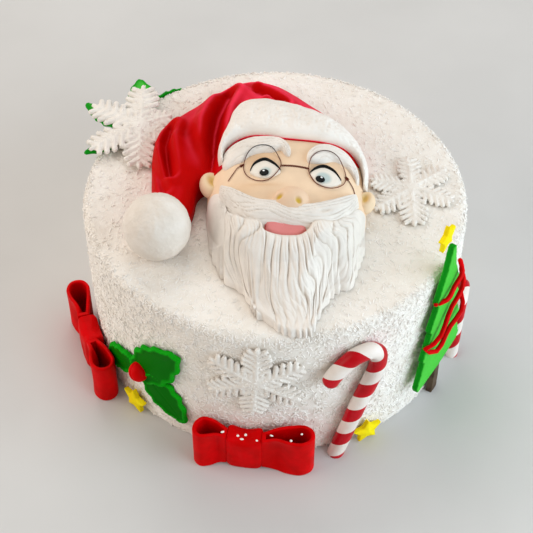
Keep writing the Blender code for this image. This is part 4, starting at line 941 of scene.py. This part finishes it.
BRIM_OUTER = [(-29.6, 0.0, 18.0), (-30.4, 8.0, 18.0), (-28.2, 18.0, 20.0), (-25.0, 28.0, 21.0),
              (-22.6, 38.0, 21.0), (-17.6, 45.2, 21.5), (-8.4, 47.2, 22.0), (3.0, 44.4, 22.5),
              (17.0, 38.6, 22.5), (30.0, 30.6, 21.5), (40.0, 24.4, 16.0), (46.6, 15.6, 11.0),
              (49.6, 4.0, 8.5), (49.0, -5.0, 9.0), (47.8, -12.0, 10.5)]
BRIM_INNER = [(-27.4, -0.6, 22.0), (-27.4, 5.6, 22.0), (-26.0, 10.0, 23.4), (-20.8, 14.4, 25.4),
              (-14.3, 16.0, 27.0), (-5.0, 14.8, 28.4), (4.3, 12.2, 28.8), (13.6, 10.8, 28.8),
              (24.7, 10.4, 27.4), (32.4, 10.4, 25.0), (39.6, 8.8, 20.4), (44.6, 4.0, 16.4),
              (46.2, -3.6, 13.6), (45.8, -11.0, 13.8)]
BRIM_THICKNESS, BRIM_SEED = 7.0, 8
PIT_COUNT, PIT_SIZES, PIT_DEPTH = 2600, (0.35, 0.85), 0.62
HAT_OUTER = [(48.6, 8.0), (44.6, 29.0), (34.0, 48.0), (19.8, 64.0), (10.4, 74.0), (1.0, 81.6),
             (-8.6, 85.0), (-17.7, 84.0), (-26.9, 78.4), (-36.0, 71.0), (-45.0, 62.8),
             (-54.6, 51.6), (-62.2, 42.4), (-66.0, 32.0), (-67.0, 20.0), (-66.4, 6.0),
             (-65.8, -8.0), (-66.4, -24.0)]
HAT_INNER = [(43.4, 2.6), (38.4, 7.6), (31.6, 9.4), (23.4, 9.6), (13.0, 10.2), (4.0, 11.4),
             (-5.0, 14.0), (-14.0, 15.2), (-20.0, 13.6), (-25.0, 9.6), (-26.6, 4.0),
             (-28.0, -3.0), (-33.6, -3.6), (-39.2, -5.6), (-41.8, -11.0), (-42.4, -17.0),
             (-43.6, -23.0), (-46.4, -31.0)]
HAT_HEIGHT, HAT_END_HEIGHT = 21.0, 15.0
HAT_LIGHT = Vector((-0.1, 0.55, 0.83))
# Each crease's line, half width and depth
HAT_CREASES = [
    ([(-26.0, 68.0), (-31.0, 48.0), (-33.0, 33.0), (-33.6, 18.0), (-31.0, 4.0)], 3.6, 8.6),
    ([(-8.9, 68.0), (-2.6, 61.0), (5.0, 53.0)], 2.4, 5.6),
    ([(-16.2, 76.0), (-12.8, 68.0), (-7.1, 59.0)], 2.4, 3.6),
    ([(-57.0, 38.0), (-59.0, 24.0), (-57.6, 10.0), (-55.4, -4.0)], 2.6, 7.0),
    ([(-50.0, 31.0), (-42.3, 13.0), (-37.6, 1.0)], 4.4, 3.4),
    ([(-66.0, 14.0), (-61.4, -2.0), (-57.6, -15.0)], 1.9, 3.0),
    ([(-42.0, 58.0), (-46.0, 42.0), (-46.5, 30.0)], 5.0, 2.4)]
POMPOM_CENTRE, POMPOM_RADIUS, POMPOM_HEIGHT = (-60.0, -42.0), 17.2, 15.6
# Lumps to a radius, seed and share
POMPOM_LUMPS = ((4.0, 5, 0.5), (14.0, 6, 0.35), ((22.0, 34.0, 34.0), 7, 0.4))


def hat():
    inner, outer = smooth_line(HAT_INNER), smooth_line(HAT_OUTER)
    brim_surface = search_trees([frame["nodes"]["hat_brim"]])

    def top(s, t, x, y):
        height = HAT_HEIGHT + (HAT_END_HEIGHT - HAT_HEIGHT) * s ** 2
        height = height * np.minimum(0.45 + 3.0 * s, 1.0)
        free = eased(np.clip((s - 0.52) / 0.16, 0.0, 1.0))
        over_crown = height * np.sqrt(np.clip(1 - t ** 2.6, 0.0, None))
        swell = (1 - free) * over_crown + free * height * rounded(0.04 + 0.96 * t)
        for line, width, depth in HAT_CREASES:
            away, share = distance_to_line(x, y, line)
            dip = np.exp(-(away / width) ** 2)
            ridge = 0.36 * np.exp(-((away - 2.1 * width) / (1.1 * width)) ** 2)
            fade = rounded(0.12 + 0.76 * share) * np.clip(swell / 12.0, 0.0, 1.0)
            swell = swell + fade * depth * (ridge - dip)
        brim_top = heights_over(brim_surface, x, y)
        swell = np.where(brim_top > -50, np.minimum(swell, brim_top - 1.2), swell)
        crown = head_height(x, y)
        swell = np.where(crown > 0, np.maximum(swell, crown + 0.8), swell)
        return np.maximum(swell, 0.6)
    cloth = patch("hat_cloth", HAT_RED, "red_paste", inner, outer, np.linspace(0, 1, 240), crowded(80),
                  top, 0.0, on_top, ["hat"], None)
    # The crest tone is a painted sheen: pink where the cloth faces HAT_LIGHT, with less of it towards the
    # hat's left end.
    places, normals = vertex_data(cloth.data)
    sheen_share = np.clip((places[:, 0] + 60.0) / 34.0, 0.2, 1.0)
    facing = np.clip((normals @ np.array(HAT_LIGHT.normalized()) - 0.55) / 0.43, 0.0, 1.0)
    tone(cloth, "crest", facing ** 1.5 * sheen_share)


def brim():
    inner, outer = smooth_line(BRIM_INNER), smooth_line(BRIM_OUTER)
    draw = np.random.default_rng(BRIM_SEED)
    pits = np.stack([draw.uniform(-34, 54, PIT_COUNT), draw.uniform(-26, 52, PIT_COUNT)], -1)
    sizes = draw.uniform(*PIT_SIZES, PIT_COUNT)
    from_pits = KDTree(PIT_COUNT)
    for i, (x, y) in enumerate(pits):
        from_pits.insert((x, y, 0.0), i)
    from_pits.balance()

    def pitted(x, y):
        found = np.zeros(x.shape)
        for index in np.ndindex(x.shape):
            for _, i, away in from_pits.find_n((x[index], y[index], 0.0), 2):
                found[index] += math.exp(-(away / sizes[i]) ** 2) * sizes[i]
        return found

    def top(s, t, x, y):
        edge = inner(s[:, 0])[:, 2][:, None] * (1 - t) + outer(s[:, 0])[:, 2][:, None] * t
        lumps = 0.5 * np.sin(0.55 * x + 0.3 * y) * np.sin(0.35 * y - 0.2 * x + 1)
        roll = BRIM_THICKNESS * rounded(t) * (0.4 + 0.6 * rounded(s))
        pits = pitted(x, y) * np.clip(from_edge(s, t, 130.0, 30.0, 9.0) * 1.6 - 0.6, 0.0, 1.0)
        return edge + roll + lumps * 0.5 * from_edge(s, t, 130.0, 30.0, 5.0) - PIT_DEPTH * pits
    patch("brim_paste", WHITE, "white_paste", lambda s: inner(s)[:, :2],
          lambda s: outer(s)[:, :2], np.linspace(0, 1, 300), crowded(80), top, 4.0, on_top,
          ["hat_brim"], None)


def pompom():
    points, faces = ball((0, 0, 0), (1.0, 1.0, 1.0), 160, 100)
    lumps = sum(share * value_noise(points * count, seed) for count, seed, share in POMPOM_LUMPS)
    points = points * (POMPOM_RADIUS + 0.9 * (lumps - 0.55))[:, None]
    points += on_top(*POMPOM_CENTRE, POMPOM_HEIGHT)
    points[:, 2] = np.maximum(points[:, 2], CAKE_HEIGHT + 0.1)
    build("pompom_paste", POMPOM, points, faces, "white_paste", ["pompom"])


# Holly and snowflakes

LEAF_THICKNESS, LEAF_WAVE, LEAF_SPINES = 1.8, 0.5, 4
HOLLY_ANGLE, HOLLY_HEIGHT = -45.0, 31.0
# Base, tip, half width and lift
HOLLY_FRONT = {
    "holly_front_leaf_1": ((-0.5, 9.0), (-27.6, -9.1), 10.0, 0.0),
    "holly_front_leaf_2": ((1.0, 3.0), (29.0, 37.5), 13.0, 0.5),
    "holly_front_leaf_3": ((8.0, 9.5), (31.0, -18.2), 12.0, 0.2)}
BERRY_PLACE, BERRY_RADIUS = (4.5, 8.0, 3.6), 5.6
HOLLY_BACK = {
    "holly_back_leaf_1": ((-74.4, 62.0), (-77.8, 90.0), 8.4),
    "holly_back_leaf_2": ((-84.6, 50.6), (-107.0, 69.0), 6.4),
    "holly_back_leaf_3": ((-84.0, 41.6), (-104.4, 28.2), 4.8)}
HOLLY_BEHIND_PLACE = (-143.3, 88.8)
HOLLY_BEHIND = {"holly_back_leaf_4": ((-12.0, -1.0), (12.0, 1.0), 6.0)}


def leaf_width(s, half_width):
    """The width of a leaf at shares of its length, without its spines."""
    return 2 * half_width * np.sin(math.pi * (0.06 + 0.9 * s) ** 0.9) ** 0.7


def leaf(name, finish, slot, place, base, tip, half_width, lift=0.0):
    base, tip = np.array(base, float), np.array(tip, float)
    aside = np.array((-(tip - base)[1], (tip - base)[0])) / np.linalg.norm(tip - base)

    def edge(side):
        def line(s):
            spines = 0.84 + 0.16 * (0.5 - 0.5 * np.cos(math.pi * (2 * LEAF_SPINES + 1) * s))
            out = 0.5 * side * leaf_width(s, half_width) * spines
            return base + (tip - base) * s[:, None] + aside * out[:, None]
        return line

    def inward(s, t):
        """How far in from the leaf's outline."""
        width = leaf_width(s, half_width)
        return np.minimum(np.minimum(t, 1 - t) * width, np.minimum(s, 1 - s) * 40.0)

    def wave(s, t):
        return lift + LEAF_WAVE * (1 + np.sin(5 * s + 3 * t))

    def top(s, t, x, y):
        rim = np.exp(-((inward(s, t) - 1.5) / 1.2) ** 2)
        vein = np.exp(-(((t - 0.5) * leaf_width(s, half_width)) / 0.5) ** 2) * (s < 0.92)
        rough = 0.3 * np.sin(3.1 * x) * np.sin(2.7 * y) * rim
        body = (1 - 0.25 * np.abs(2 * t - 1)) * (0.35 + 0.65 * rolled(inward(s, t) / 0.8))
        return wave(s, t) + LEAF_THICKNESS * body + 0.8 * rim - 0.3 * vein + rough
    along, across = crowded(100), crowded(44)
    piece = patch(name + "_paste", finish, slot, edge(-1), edge(1), along, across, top,
                  lambda s, t, x, y: wave(s, t), place, [name], None)
    # The rim tone is painted light at a leaf's edges: a highlight on the dark green leaves, shade on the
    # light green ones. The underside and the sides take it throughout.
    rim = np.clip(1.6 - inward(*np.meshgrid(along, across, indexing="ij")) / 2.0, 0.0, 1.0).ravel()
    tone(piece, "rim", np.concatenate([rim, 1.0 + 0 * rim]))


def holly():
    front = on_wall(HOLLY_ANGLE, HOLLY_HEIGHT)
    for name, shape in HOLLY_FRONT.items():
        leaf(name, GREEN, "green_paste", front, *shape)
    for place, leaves in ((on_top, HOLLY_BACK), (on_wall(*HOLLY_BEHIND_PLACE), HOLLY_BEHIND)):
        for name, shape in leaves.items():
            leaf(name, LIGHT_GREEN, "light_green_paste", place, *shape)
    points, faces = ball((0, 0, 0), (0.86 * BERRY_RADIUS, BERRY_RADIUS, BERRY_RADIUS), 64, 40, 24.0)
    groove = np.exp(-((points[:, 0] * 0.9 + points[:, 1] * 0.45) / 0.6) ** 2) * (points[:, 2] > 0)
    u, v, w = (points * (1 - 0.12 * groove)[:, None] + BERRY_PLACE).T
    build("holly_berry_paste", RED, front(u, v, w), faces, "red_paste", ["holly_front_berry"])


FLAKE_HUB, FLAKE_SHORT_ARM, FLAKE_PAIRS, FLAKE_BARB_RADIUS = 4.2, 21.0, 6, 1.35
FLAKE_LEFT_PLACE, FLAKE_LEFT_RISE, FLAKE_LEFT_FLAT = (-74.8, 47.7), 3.2, (68.0, 90.0)
FLAKE_RIGHT_PLACE, FLAKE_FRONT_PLACE, FLAKE_BACK_PLACE = (73.0, 0.5), (-5.5, 62.4), (148.0, 58.0)
# Each arm's direction and length
FLAKE_LEFT_ARMS = [(91, 34.0), (149, 33.5), (217, 33.5), (272, 33.0), (331, 16.5), (29, 19.5)]
FLAKE_RIGHT_ARMS = [(91, 24.5), (163, 23.0), (218, 26.5), (269, 28.0), (335, 24.0), (37, 25.0)]
FLAKE_WALL_ARMS = [(direction, 27.0) for direction in (88, 148, 206, 266, 326, 28)]
FLAKE_LEFT_WEB, FLAKE_RIGHT_WEB = 0.85, 0.5
# Size of a voxel, rounds of smoothing and roughness
FLAKE_SOFTENING = (0.45, 2, 0.05)


def snowflake(name, arms, place, web=0.0):
    """Arms that meet in the middle, each with pairs of rounded barbs like a fern's. A web joins the
    barbs out to a share of their reach."""
    parts = [ball((0.0, 0.0, 1.3), (6.0, 6.0, 1.9), 32, 12)]

    def limb(start, end, thick_start, thick_end):
        steps = np.linspace(0.0, 1.0, 7)
        centres = start + (end - start) * steps[:, None]
        parts.append(tube_mesh(centres, thick_start + (thick_end - thick_start) * steps, 12, ends=3))
    for direction, length in arms:
        ahead = turned(np.array([1.0, 0.0, 0.0]), direction)
        aside = turned(np.array([0.0, 1.0, 0.0]), direction)
        limb(np.array([0.0, 0.0, 1.6]), ahead * (length - 1.0) + (0.0, 0.0, 1.4), 1.6, 1.2)
        if web:
            points, faces = ball((0.52 * length, 0.0, 0.9), (0.44 * length, 7.0 * web, 1.5), 32, 10)
            parts.append((turned(points, direction), faces))
        fat = FLAKE_BARB_RADIUS * max(length / 27.0, 0.9)
        pairs = FLAKE_PAIRS if length > FLAKE_SHORT_ARM else FLAKE_PAIRS - 2
        pitch = (length - FLAKE_HUB) / pairs
        for i in range(pairs):
            reach = fat * (1.9 + 3.1 * math.sin(math.pi * (i + 1.2) / (pairs + 1.2)))
            start = ahead * (FLAKE_HUB + pitch * (i - 0.3)) + (0.0, 0.0, 1.4)
            for side in (-1, 1):
                end = start + ahead * 0.62 * reach + aside * side * reach - (0.0, 0.0, 0.2)
                limb(start, end, fat, 0.92 * fat)
    points, faces = joined(parts)
    u, v, w = points.T
    mesh = bpy.data.meshes.new(name + "_paste")
    mesh.from_pydata((place(u, v, np.maximum(w, 0.0)) * MM).tolist(), [], faces)
    softened(name, mesh, FLAKE_WHITE, "white_paste", *FLAKE_SOFTENING)


def snowflakes():
    left = around(FLAKE_LEFT_PLACE, FLAKE_LEFT_RISE, FLAKE_LEFT_FLAT)
    snowflake("snowflake_left", FLAKE_LEFT_ARMS, left, FLAKE_LEFT_WEB)
    snowflake("snowflake_right", FLAKE_RIGHT_ARMS, around(FLAKE_RIGHT_PLACE), FLAKE_RIGHT_WEB)
    snowflake("snowflake_front", FLAKE_WALL_ARMS, on_wall(*FLAKE_FRONT_PLACE))
    snowflake("snowflake_back", FLAKE_WALL_ARMS, on_wall(*FLAKE_BACK_PLACE))


# Canes and bows

CANE_STATIONS, CANE_SIDES = 240, 40
CANE_TURN, CANE_RED_START = 18.9, 17.2
# Each cane's line, as (angle, height), and its radius
CANES = {
    "candy_cane_front": (
        [(17.5, 0.0), (21.6, 26.3), (24.0, 41.0), (26.3, 52.7), (28.2, 63.5), (28.7, 70.2),
         (27.8, 76.8), (25.4, 79.8), (22.2, 79.4), (18.8, 74.9), (16.2, 69.5), (14.8, 64.9)], 4.4),
    "candy_cane_far": (
        [(70.8, 0.0), (71.4, 14.0), (71.7, 26.0), (72.8, 35.0), (75.8, 40.4), (79.6, 40.0),
         (82.0, 34.6), (82.4, 28.0)], 3.6)}


def candy_canes():
    """Tubes with a red band that winds up them, centred where it faces out at CANE_RED_START."""
    for name, (line, radius) in CANES.items():
        route = smooth_line(line)(np.linspace(0, 1, CANE_STATIONS))
        centres = np.array([on_wall(angle, height)(0.0, 0.0, radius + 0.4) for angle, height in route])
        steps = np.linalg.norm(np.diff(centres, axis=0), axis=1)
        along = np.concatenate([[0.0], np.cumsum(steps)])
        twist = 2 * math.pi * ((along - CANE_RED_START) / CANE_TURN - 0.25)
        points, faces = tube_mesh(centres, radius, CANE_SIDES, twist=twist,
                                  outward=outward_at(np.radians(route[:, 0])))
        points[:, 2] = np.maximum(points[:, 2], 0.0)
        piece = build(name + "_paste", CANE_WHITE, points, faces, "cane_paste", [name])
        piece.data.materials.append(CANE_RED)
        for face in piece.data.polygons:
            columns = sorted({v % CANE_SIDES for v in face.vertices})
            first = CANE_SIDES - 1 if columns == [0, CANE_SIDES - 1] else columns[0]
            face.material_index = int(len(columns) == 2 and first < 0.5 * CANE_SIDES)


# Angle, length of the left and the right loop, and the gap to the wall
BOWS = {
    "bow_front": (-8.4, 15.4, 24.3, 0.4),
    "bow_left": (-70.6, 22.0, 22.0, 0.6),
    "bow_back": (178.0, 22.5, 22.5, 0.4)}
BOW_HEIGHT, BOW_DEPTH, RIBBON_THICKNESS, LOOP_NARROW, BOW_SHARP = 28.0, 15.2, 1.9, 4.2, 60.0
LOOP_STATIONS, LOOP_LEVELS, KNOT_SIDES, KNOT_LEVELS, KNOT_POWER = 150, 34, 120, 60, 5.0
KNOT_HALF_WIDTH, KNOT_DEPTH, KNOT_DIP, KNOT_HEIGHT = 9.2, 11.6, 4.6, BOW_HEIGHT - 1.6
LOOSE_SEED = 4
# Angle, height and distance from the axis
LOOSE_COCONUT = [(-8.7, 27.1, 114.6), (-4.8, 27.1, 114.6), (-1.0, 31.2, 114.0), (-7.9, 27.6, 112.0),
                 (-9.9, 27.4, 113.0), (4.0, 28.4, 115.5), (7.0, 28.4, 112.0), (-14.0, 28.4, 113.0)]


def loop_line(length):
    """The plan of one ribbon loop from the knot out and back, as (along, out)."""
    narrow = 0.5 * (BOW_DEPTH - LOOP_NARROW)
    return [(0.0, narrow), (0.28 * length, 4.0), (0.62 * length, 3.2), (0.86 * length, 3.8),
            (0.985 * length, 6.6), (length, 9.6), (0.93 * length, 13.0), (0.76 * length, BOW_DEPTH - 0.6),
            (0.52 * length, 13.2), (0.26 * length, 10.4), (0.0, narrow + LOOP_NARROW)]


def bow_loop(name, side, length, place):
    """A ribbon that goes out from the knot and back, as rings up its outer face and its inner one."""
    stations, levels = LOOP_STATIONS, LOOP_LEVELS
    s = np.linspace(0, 1, stations)
    line = smooth_line(loop_line(length))(s)
    ahead = unit(np.gradient(line, axis=0))
    z = BOW_HEIGHT * crowded(levels)
    thick = 0.5 * RIBBON_THICKNESS * (0.3 + 0.7 * rolled(np.minimum(z, BOW_HEIGHT - z) / 0.9))
    pinched = 2.6 * np.exp(-((s - 0.84) / 0.1) ** 2) + 0.6 * np.exp(-((s - 0.12) / 0.12) ** 2)
    pinched = pinched * (line[:, 1] > 5)
    squeeze = 1 - 0.16 * np.exp(-(line[:, 0] / 5.5) ** 2)
    points, faces = [], []
    for sign in (1, -1):
        inmost = 0.0 if sign > 0 else RIBBON_THICKNESS
        for level in range(levels + 1):
            pinch = pinched * (1 - (2 * z[level] / BOW_HEIGHT - 1) ** 2)
            u = np.maximum(line[:, 0] + sign * ahead[:, 1] * thick[level], inmost)
            w = np.maximum(line[:, 1] - sign * ahead[:, 0] * thick[level] - pinch, 0.15)
            height = (z[level] - 0.5 * BOW_HEIGHT) * squeeze + BOW_HEIGHT * (0.4 + 0.1 * squeeze)
            points.append(place(side * (KNOT_HALF_WIDTH - 0.6 + u), w, height))
    for level in range(levels):
        for low in (level, levels + 1 + level):
            faces += ring_faces(low * stations, (low + 1) * stations, stations)
    faces += ring_faces(0, (levels + 1) * stations, stations)
    faces += ring_faces(levels * stations, (2 * levels + 1) * stations, stations)
    build(name + "_ribbon", RED, np.concatenate(points), faces, "red_paste", [name], BOW_SHARP)


def bow_knot(name, place):
    """The band round the middle of a bow, with its crest pressed in."""
    turn = np.linspace(0, 2 * math.pi, KNOT_SIDES, endpoint=False)
    c, s = np.cos(turn), np.sin(turn)
    reach = 1 / (np.abs(c) ** KNOT_POWER + np.abs(s) ** KNOT_POWER) ** (1 / KNOT_POWER)
    points, faces = [], []
    for level, h in enumerate(np.linspace(-1, 1, KNOT_LEVELS)):
        shrink = 1 - abs(h) ** 9 * 0.16
        u = KNOT_HALF_WIDTH * c * reach * shrink
        w = 0.5 * KNOT_DEPTH * s * reach * shrink + 0.5 * KNOT_DEPTH
        wrinkle = 0.28 * np.sin(0.9 * u + 1.3) * (s > 0) * (1 - abs(h))
        crest = KNOT_HEIGHT - KNOT_DIP * np.clip(1 - (u / KNOT_HALF_WIDTH) ** 2, 0, 1)
        points.append(place(u, np.maximum(w + wrinkle, 0.1), 0.5 * (1 + h) * crest))
        if level:
            faces += ring_faces((level - 1) * KNOT_SIDES, level * KNOT_SIDES, KNOT_SIDES)
    last = (KNOT_LEVELS - 1) * KNOT_SIDES
    points.append(place(*np.array([[0.0], [0.5 * KNOT_DEPTH], [KNOT_HEIGHT - KNOT_DIP]])))
    faces.append(range(KNOT_SIDES))
    faces += [(last + k, last + (k + 1) % KNOT_SIDES, last + KNOT_SIDES) for k in range(KNOT_SIDES)]
    build(name + "_band", RED, np.concatenate(points), faces, "red_paste", [name], BOW_SHARP)


def bows():
    for name, (angle, left, right, behind) in BOWS.items():
        wall = on_wall(angle, 0.0)

        def place(u, w, z, wall=wall, behind=behind):
            return wall(u, z, w + behind)
        bow_loop(name + "_loop_left", -1, left, place)
        bow_loop(name + "_loop_right", 1, right, place)
        bow_knot(name + "_knot", place)


def loose_flakes():
    """Some coconut that fell on the front bow."""
    parts = []
    draw = np.random.default_rng(LOOSE_SEED)
    for angle, height, out in LOOSE_COCONUT:
        middle = out * outward_at(math.radians(angle)) + (0.0, 0.0, height)
        radii = draw.uniform(0.5, 1.1), draw.uniform(0.4, 0.8), 0.4
        parts.append(ball(middle, radii, 10, 6, draw.uniform(0.0, 180.0)))
    points, faces = joined(parts)
    build("loose_coconut", SHREDS, points, faces, "coconut")


# Glasses, stars and tree

WIRE_RADIUS, WIRE_REACH, WIRE_SIDES, COIL_SIDES, COIL_WIRE_RADIUS = 0.22, 5, 10, 8, 0.2
COIL_TURNS, COIL_RADIUS, COIL_LENGTH, BRIDGE_TURNS, BRIDGE_RADIUS = 3.5, 0.62, 1.9, 8, 0.34
LENSES = ((-6.8, -8.2), (26.8, -12.2))
LENS_HALF_WIDTH, LENS_HALF_HEIGHT = 9.7, 12.0
TEMPLES = ([(-16.6, -6.4), (-19.2, -7.6), (-21.8, -11.2), (-24.4, -15.4)],
           [(36.4, -12.4), (38.6, -15.4), (40.2, -18.4), (40.8, -21.0)])
BRIDGE = [(2.9, -9.2), (10.0, -9.7), (17.1, -11.2)]
UNDER_WIRE = ("head_paste", "eyeball_left", "eyeball_right", "eyebrow_left_hair",
              "eyebrow_right_hair", "lid_line_left", "lid_line_right")


def over_face(trees, plan, closed=False):
    """Points over the face along a plan line, lifted clear of all that lies on it."""
    heights, mode = heights_over(trees, plan[:, 0], plan[:, 1]), "wrap" if closed else "edge"
    for merged in (np.max, np.mean):
        padded = np.pad(heights, WIRE_REACH, mode=mode)
        heights = np.array([merged(padded[i:i + 2 * WIRE_REACH + 1]) for i in range(len(plan))])
    return on_top(plan[:, 0], plan[:, 1], heights + WIRE_RADIUS)


def glasses():
    trees = search_trees([bpy.data.objects[name] for name in UNDER_WIRE])
    parts = []
    turn = np.linspace(0, 2 * math.pi, 140, endpoint=False)
    for x, y in LENSES:
        ring = np.stack([x + LENS_HALF_WIDTH * np.cos(turn), y + LENS_HALF_HEIGHT * np.sin(turn)], -1)
        parts.append(tube_mesh(over_face(trees, ring, True), WIRE_RADIUS, WIRE_SIDES, closed=True))
    for line in TEMPLES:
        route = over_face(trees, smooth_line(line)(np.linspace(0, 1, 50)))
        parts.append(tube_mesh(route, WIRE_RADIUS, WIRE_SIDES))
        coil = np.linspace(0, COIL_TURNS * 2 * math.pi, 60)
        ahead = (route[8] - route[0]) / np.linalg.norm(route[8] - route[0])
        across = np.outer(np.cos(coil), np.cross(ahead, (0.0, 0.0, 1.0)))
        wound = route[0] + ahead * (coil[:, None] / coil[-1] * COIL_LENGTH)
        wound = wound + COIL_RADIUS * (across + np.outer(np.sin(coil), (0.0, 0.0, 1.0)))
        parts.append(tube_mesh(wound, COIL_WIRE_RADIUS, COIL_SIDES))
    route = over_face(trees, smooth_line(BRIDGE)(np.linspace(0, 1, 160)))
    winding = np.linspace(0, BRIDGE_TURNS * 2 * math.pi, len(route))
    for half in (0.0, math.pi):
        round_it = np.stack([0 * winding, np.cos(winding + half), np.sin(winding + half)], -1)
        parts.append(tube_mesh(route + BRIDGE_RADIUS * round_it, WIRE_RADIUS, COIL_SIDES))
    points, faces = joined(parts)
    piece = build("glasses_wire", WIRE, points, faces, "wire", ["glasses"])
    tone(piece, "upper", np.clip((points[:, 1] + 6.0) / 8.0, 0.0, 1.0))


TREE_FACING = 58.0
# Nodes, material, slot, size of a voxel, rounds of smoothing and roughness
SOFTENED = (
    (("star_left", "star_right", "star_back", "star_tree"), YELLOW, "yellow_paste", 0.4, 4, 0.05),
    (("tree",), LIGHT_GREEN, "light_green_paste", 0.6, 3, 0.06),
    (("tree_trunk",), BROWN, "brown_paste", 0.5, 4, 0.05),
    (("garland_top", "garland_low"), RED, "red_paste", 0.35, 4))


def softened_pieces():
    made = {}
    for nodes, *finish in SOFTENED:
        for node in nodes:
            made[node] = softened(node, frame["nodes"][node].data.copy(), *finish)
    # The tree's rim tone is painted shade on the faces that turn away from the slab's front and back.
    normals = vertex_data(made["tree"].data)[1]
    facing = np.abs(normals @ outward_at(math.radians(TREE_FACING)))
    tone(made["tree"], "rim", np.clip(1.5 - 1.9 * facing, 0.0, 1.0))


# Stage, light and camera

FLOOR_REACH = 3.0
WORLD_COLOUR, WORLD_STRENGTH = (1.0, 0.94, 0.86), 0.41
LIGHTS_TARGET = Vector((0.0, 0.0, 0.05))
# Place in metres, size, power and colour
LIGHTS = {
    "top_light": ((-0.15, 0.75, 1.0), 0.7, 4.9, (1.0, 0.98, 0.95)),
    "side_light": ((0.88, -0.42, 0.42), 1.0, 11.5, (0.74, 0.89, 1.0)),
    "fill_light": ((-0.98, -0.15, 0.55), 0.9, 6.2, (1.0, 0.93, 0.86))}
PHOTO_PIXELS, FOCAL_PIXELS, SENSOR = 533, 1300.0, 36.0
CAMERA_TARGET, CAMERA_RISE, CAMERA_DISTANCE = (-4.6, 0.0, 35.1), 47.6, 741.0


def studio():
    floor_mesh = bpy.data.meshes.new("floor")
    corners = [(-FLOOR_REACH, -FLOOR_REACH, 0), (FLOOR_REACH, -FLOOR_REACH, 0),
               (FLOOR_REACH, FLOOR_REACH, 0), (-FLOOR_REACH, FLOOR_REACH, 0)]
    floor_mesh.from_pydata(corners, [], [(0, 1, 2, 3)])
    pale = material("pale_floor", (0.62, 0.61, 0.6), 0.8, 0.5)
    shades = mottled(pale, noise(pale, 120.0, 3.0), (0.6, 0.59, 0.58), (0.64, 0.63, 0.62))
    feed(pale, shades, "Base Color")
    floor_mesh.materials.append(pale)
    placed("floor", floor_mesh)
    world = bpy.data.worlds.new("studio")
    bpy.context.scene.world = world
    world.use_nodes = True
    world.node_tree.nodes["Background"].inputs["Color"].default_value = (*WORLD_COLOUR, 1.0)
    world.node_tree.nodes["Background"].inputs["Strength"].default_value = WORLD_STRENGTH
    for name, (place, size, watts, colour) in LIGHTS.items():
        light = bpy.data.lights.new(name, "AREA")
        light.size = size
        light.energy = watts
        light.color = colour
        lamp = placed(name, light)
        lamp.location = place
        towards = LIGHTS_TARGET - Vector(place)
        lamp.rotation_euler = towards.to_track_quat("-Z", "Y").to_euler()


def camera():
    rise = math.radians(CAMERA_RISE)
    ahead = Vector((0.0, math.cos(rise), -math.sin(rise)))
    lens = bpy.data.cameras.new("camera")
    lens.sensor_width = SENSOR
    lens.lens = SENSOR * FOCAL_PIXELS / PHOTO_PIXELS
    made = placed("camera", lens)
    made.location = (Vector(CAMERA_TARGET) - ahead * CAMERA_DISTANCE) * MM
    made.rotation_euler = ahead.to_track_quat("-Z", "Y").to_euler()
    bpy.context.scene.camera = made


studio()
camera()
bpy.context.scene.view_settings.view_transform = "Standard"
for row in frame["record"]["subparts"]:
    solid = frame["nodes"][row["node"]].data
    solid.materials.clear()
    solid.materials.append(FINISHES[row["material_slot"]])
coconut_coating(coated_cake())
head()
ears()
nose()
eyes()
brows()
mouth()
beard()
moustache()
hat()
brim()
pompom()
holly()
candy_canes()
bows()
glasses()
snowflakes()
coconut_dust()
softened_pieces()
loose_flakes()
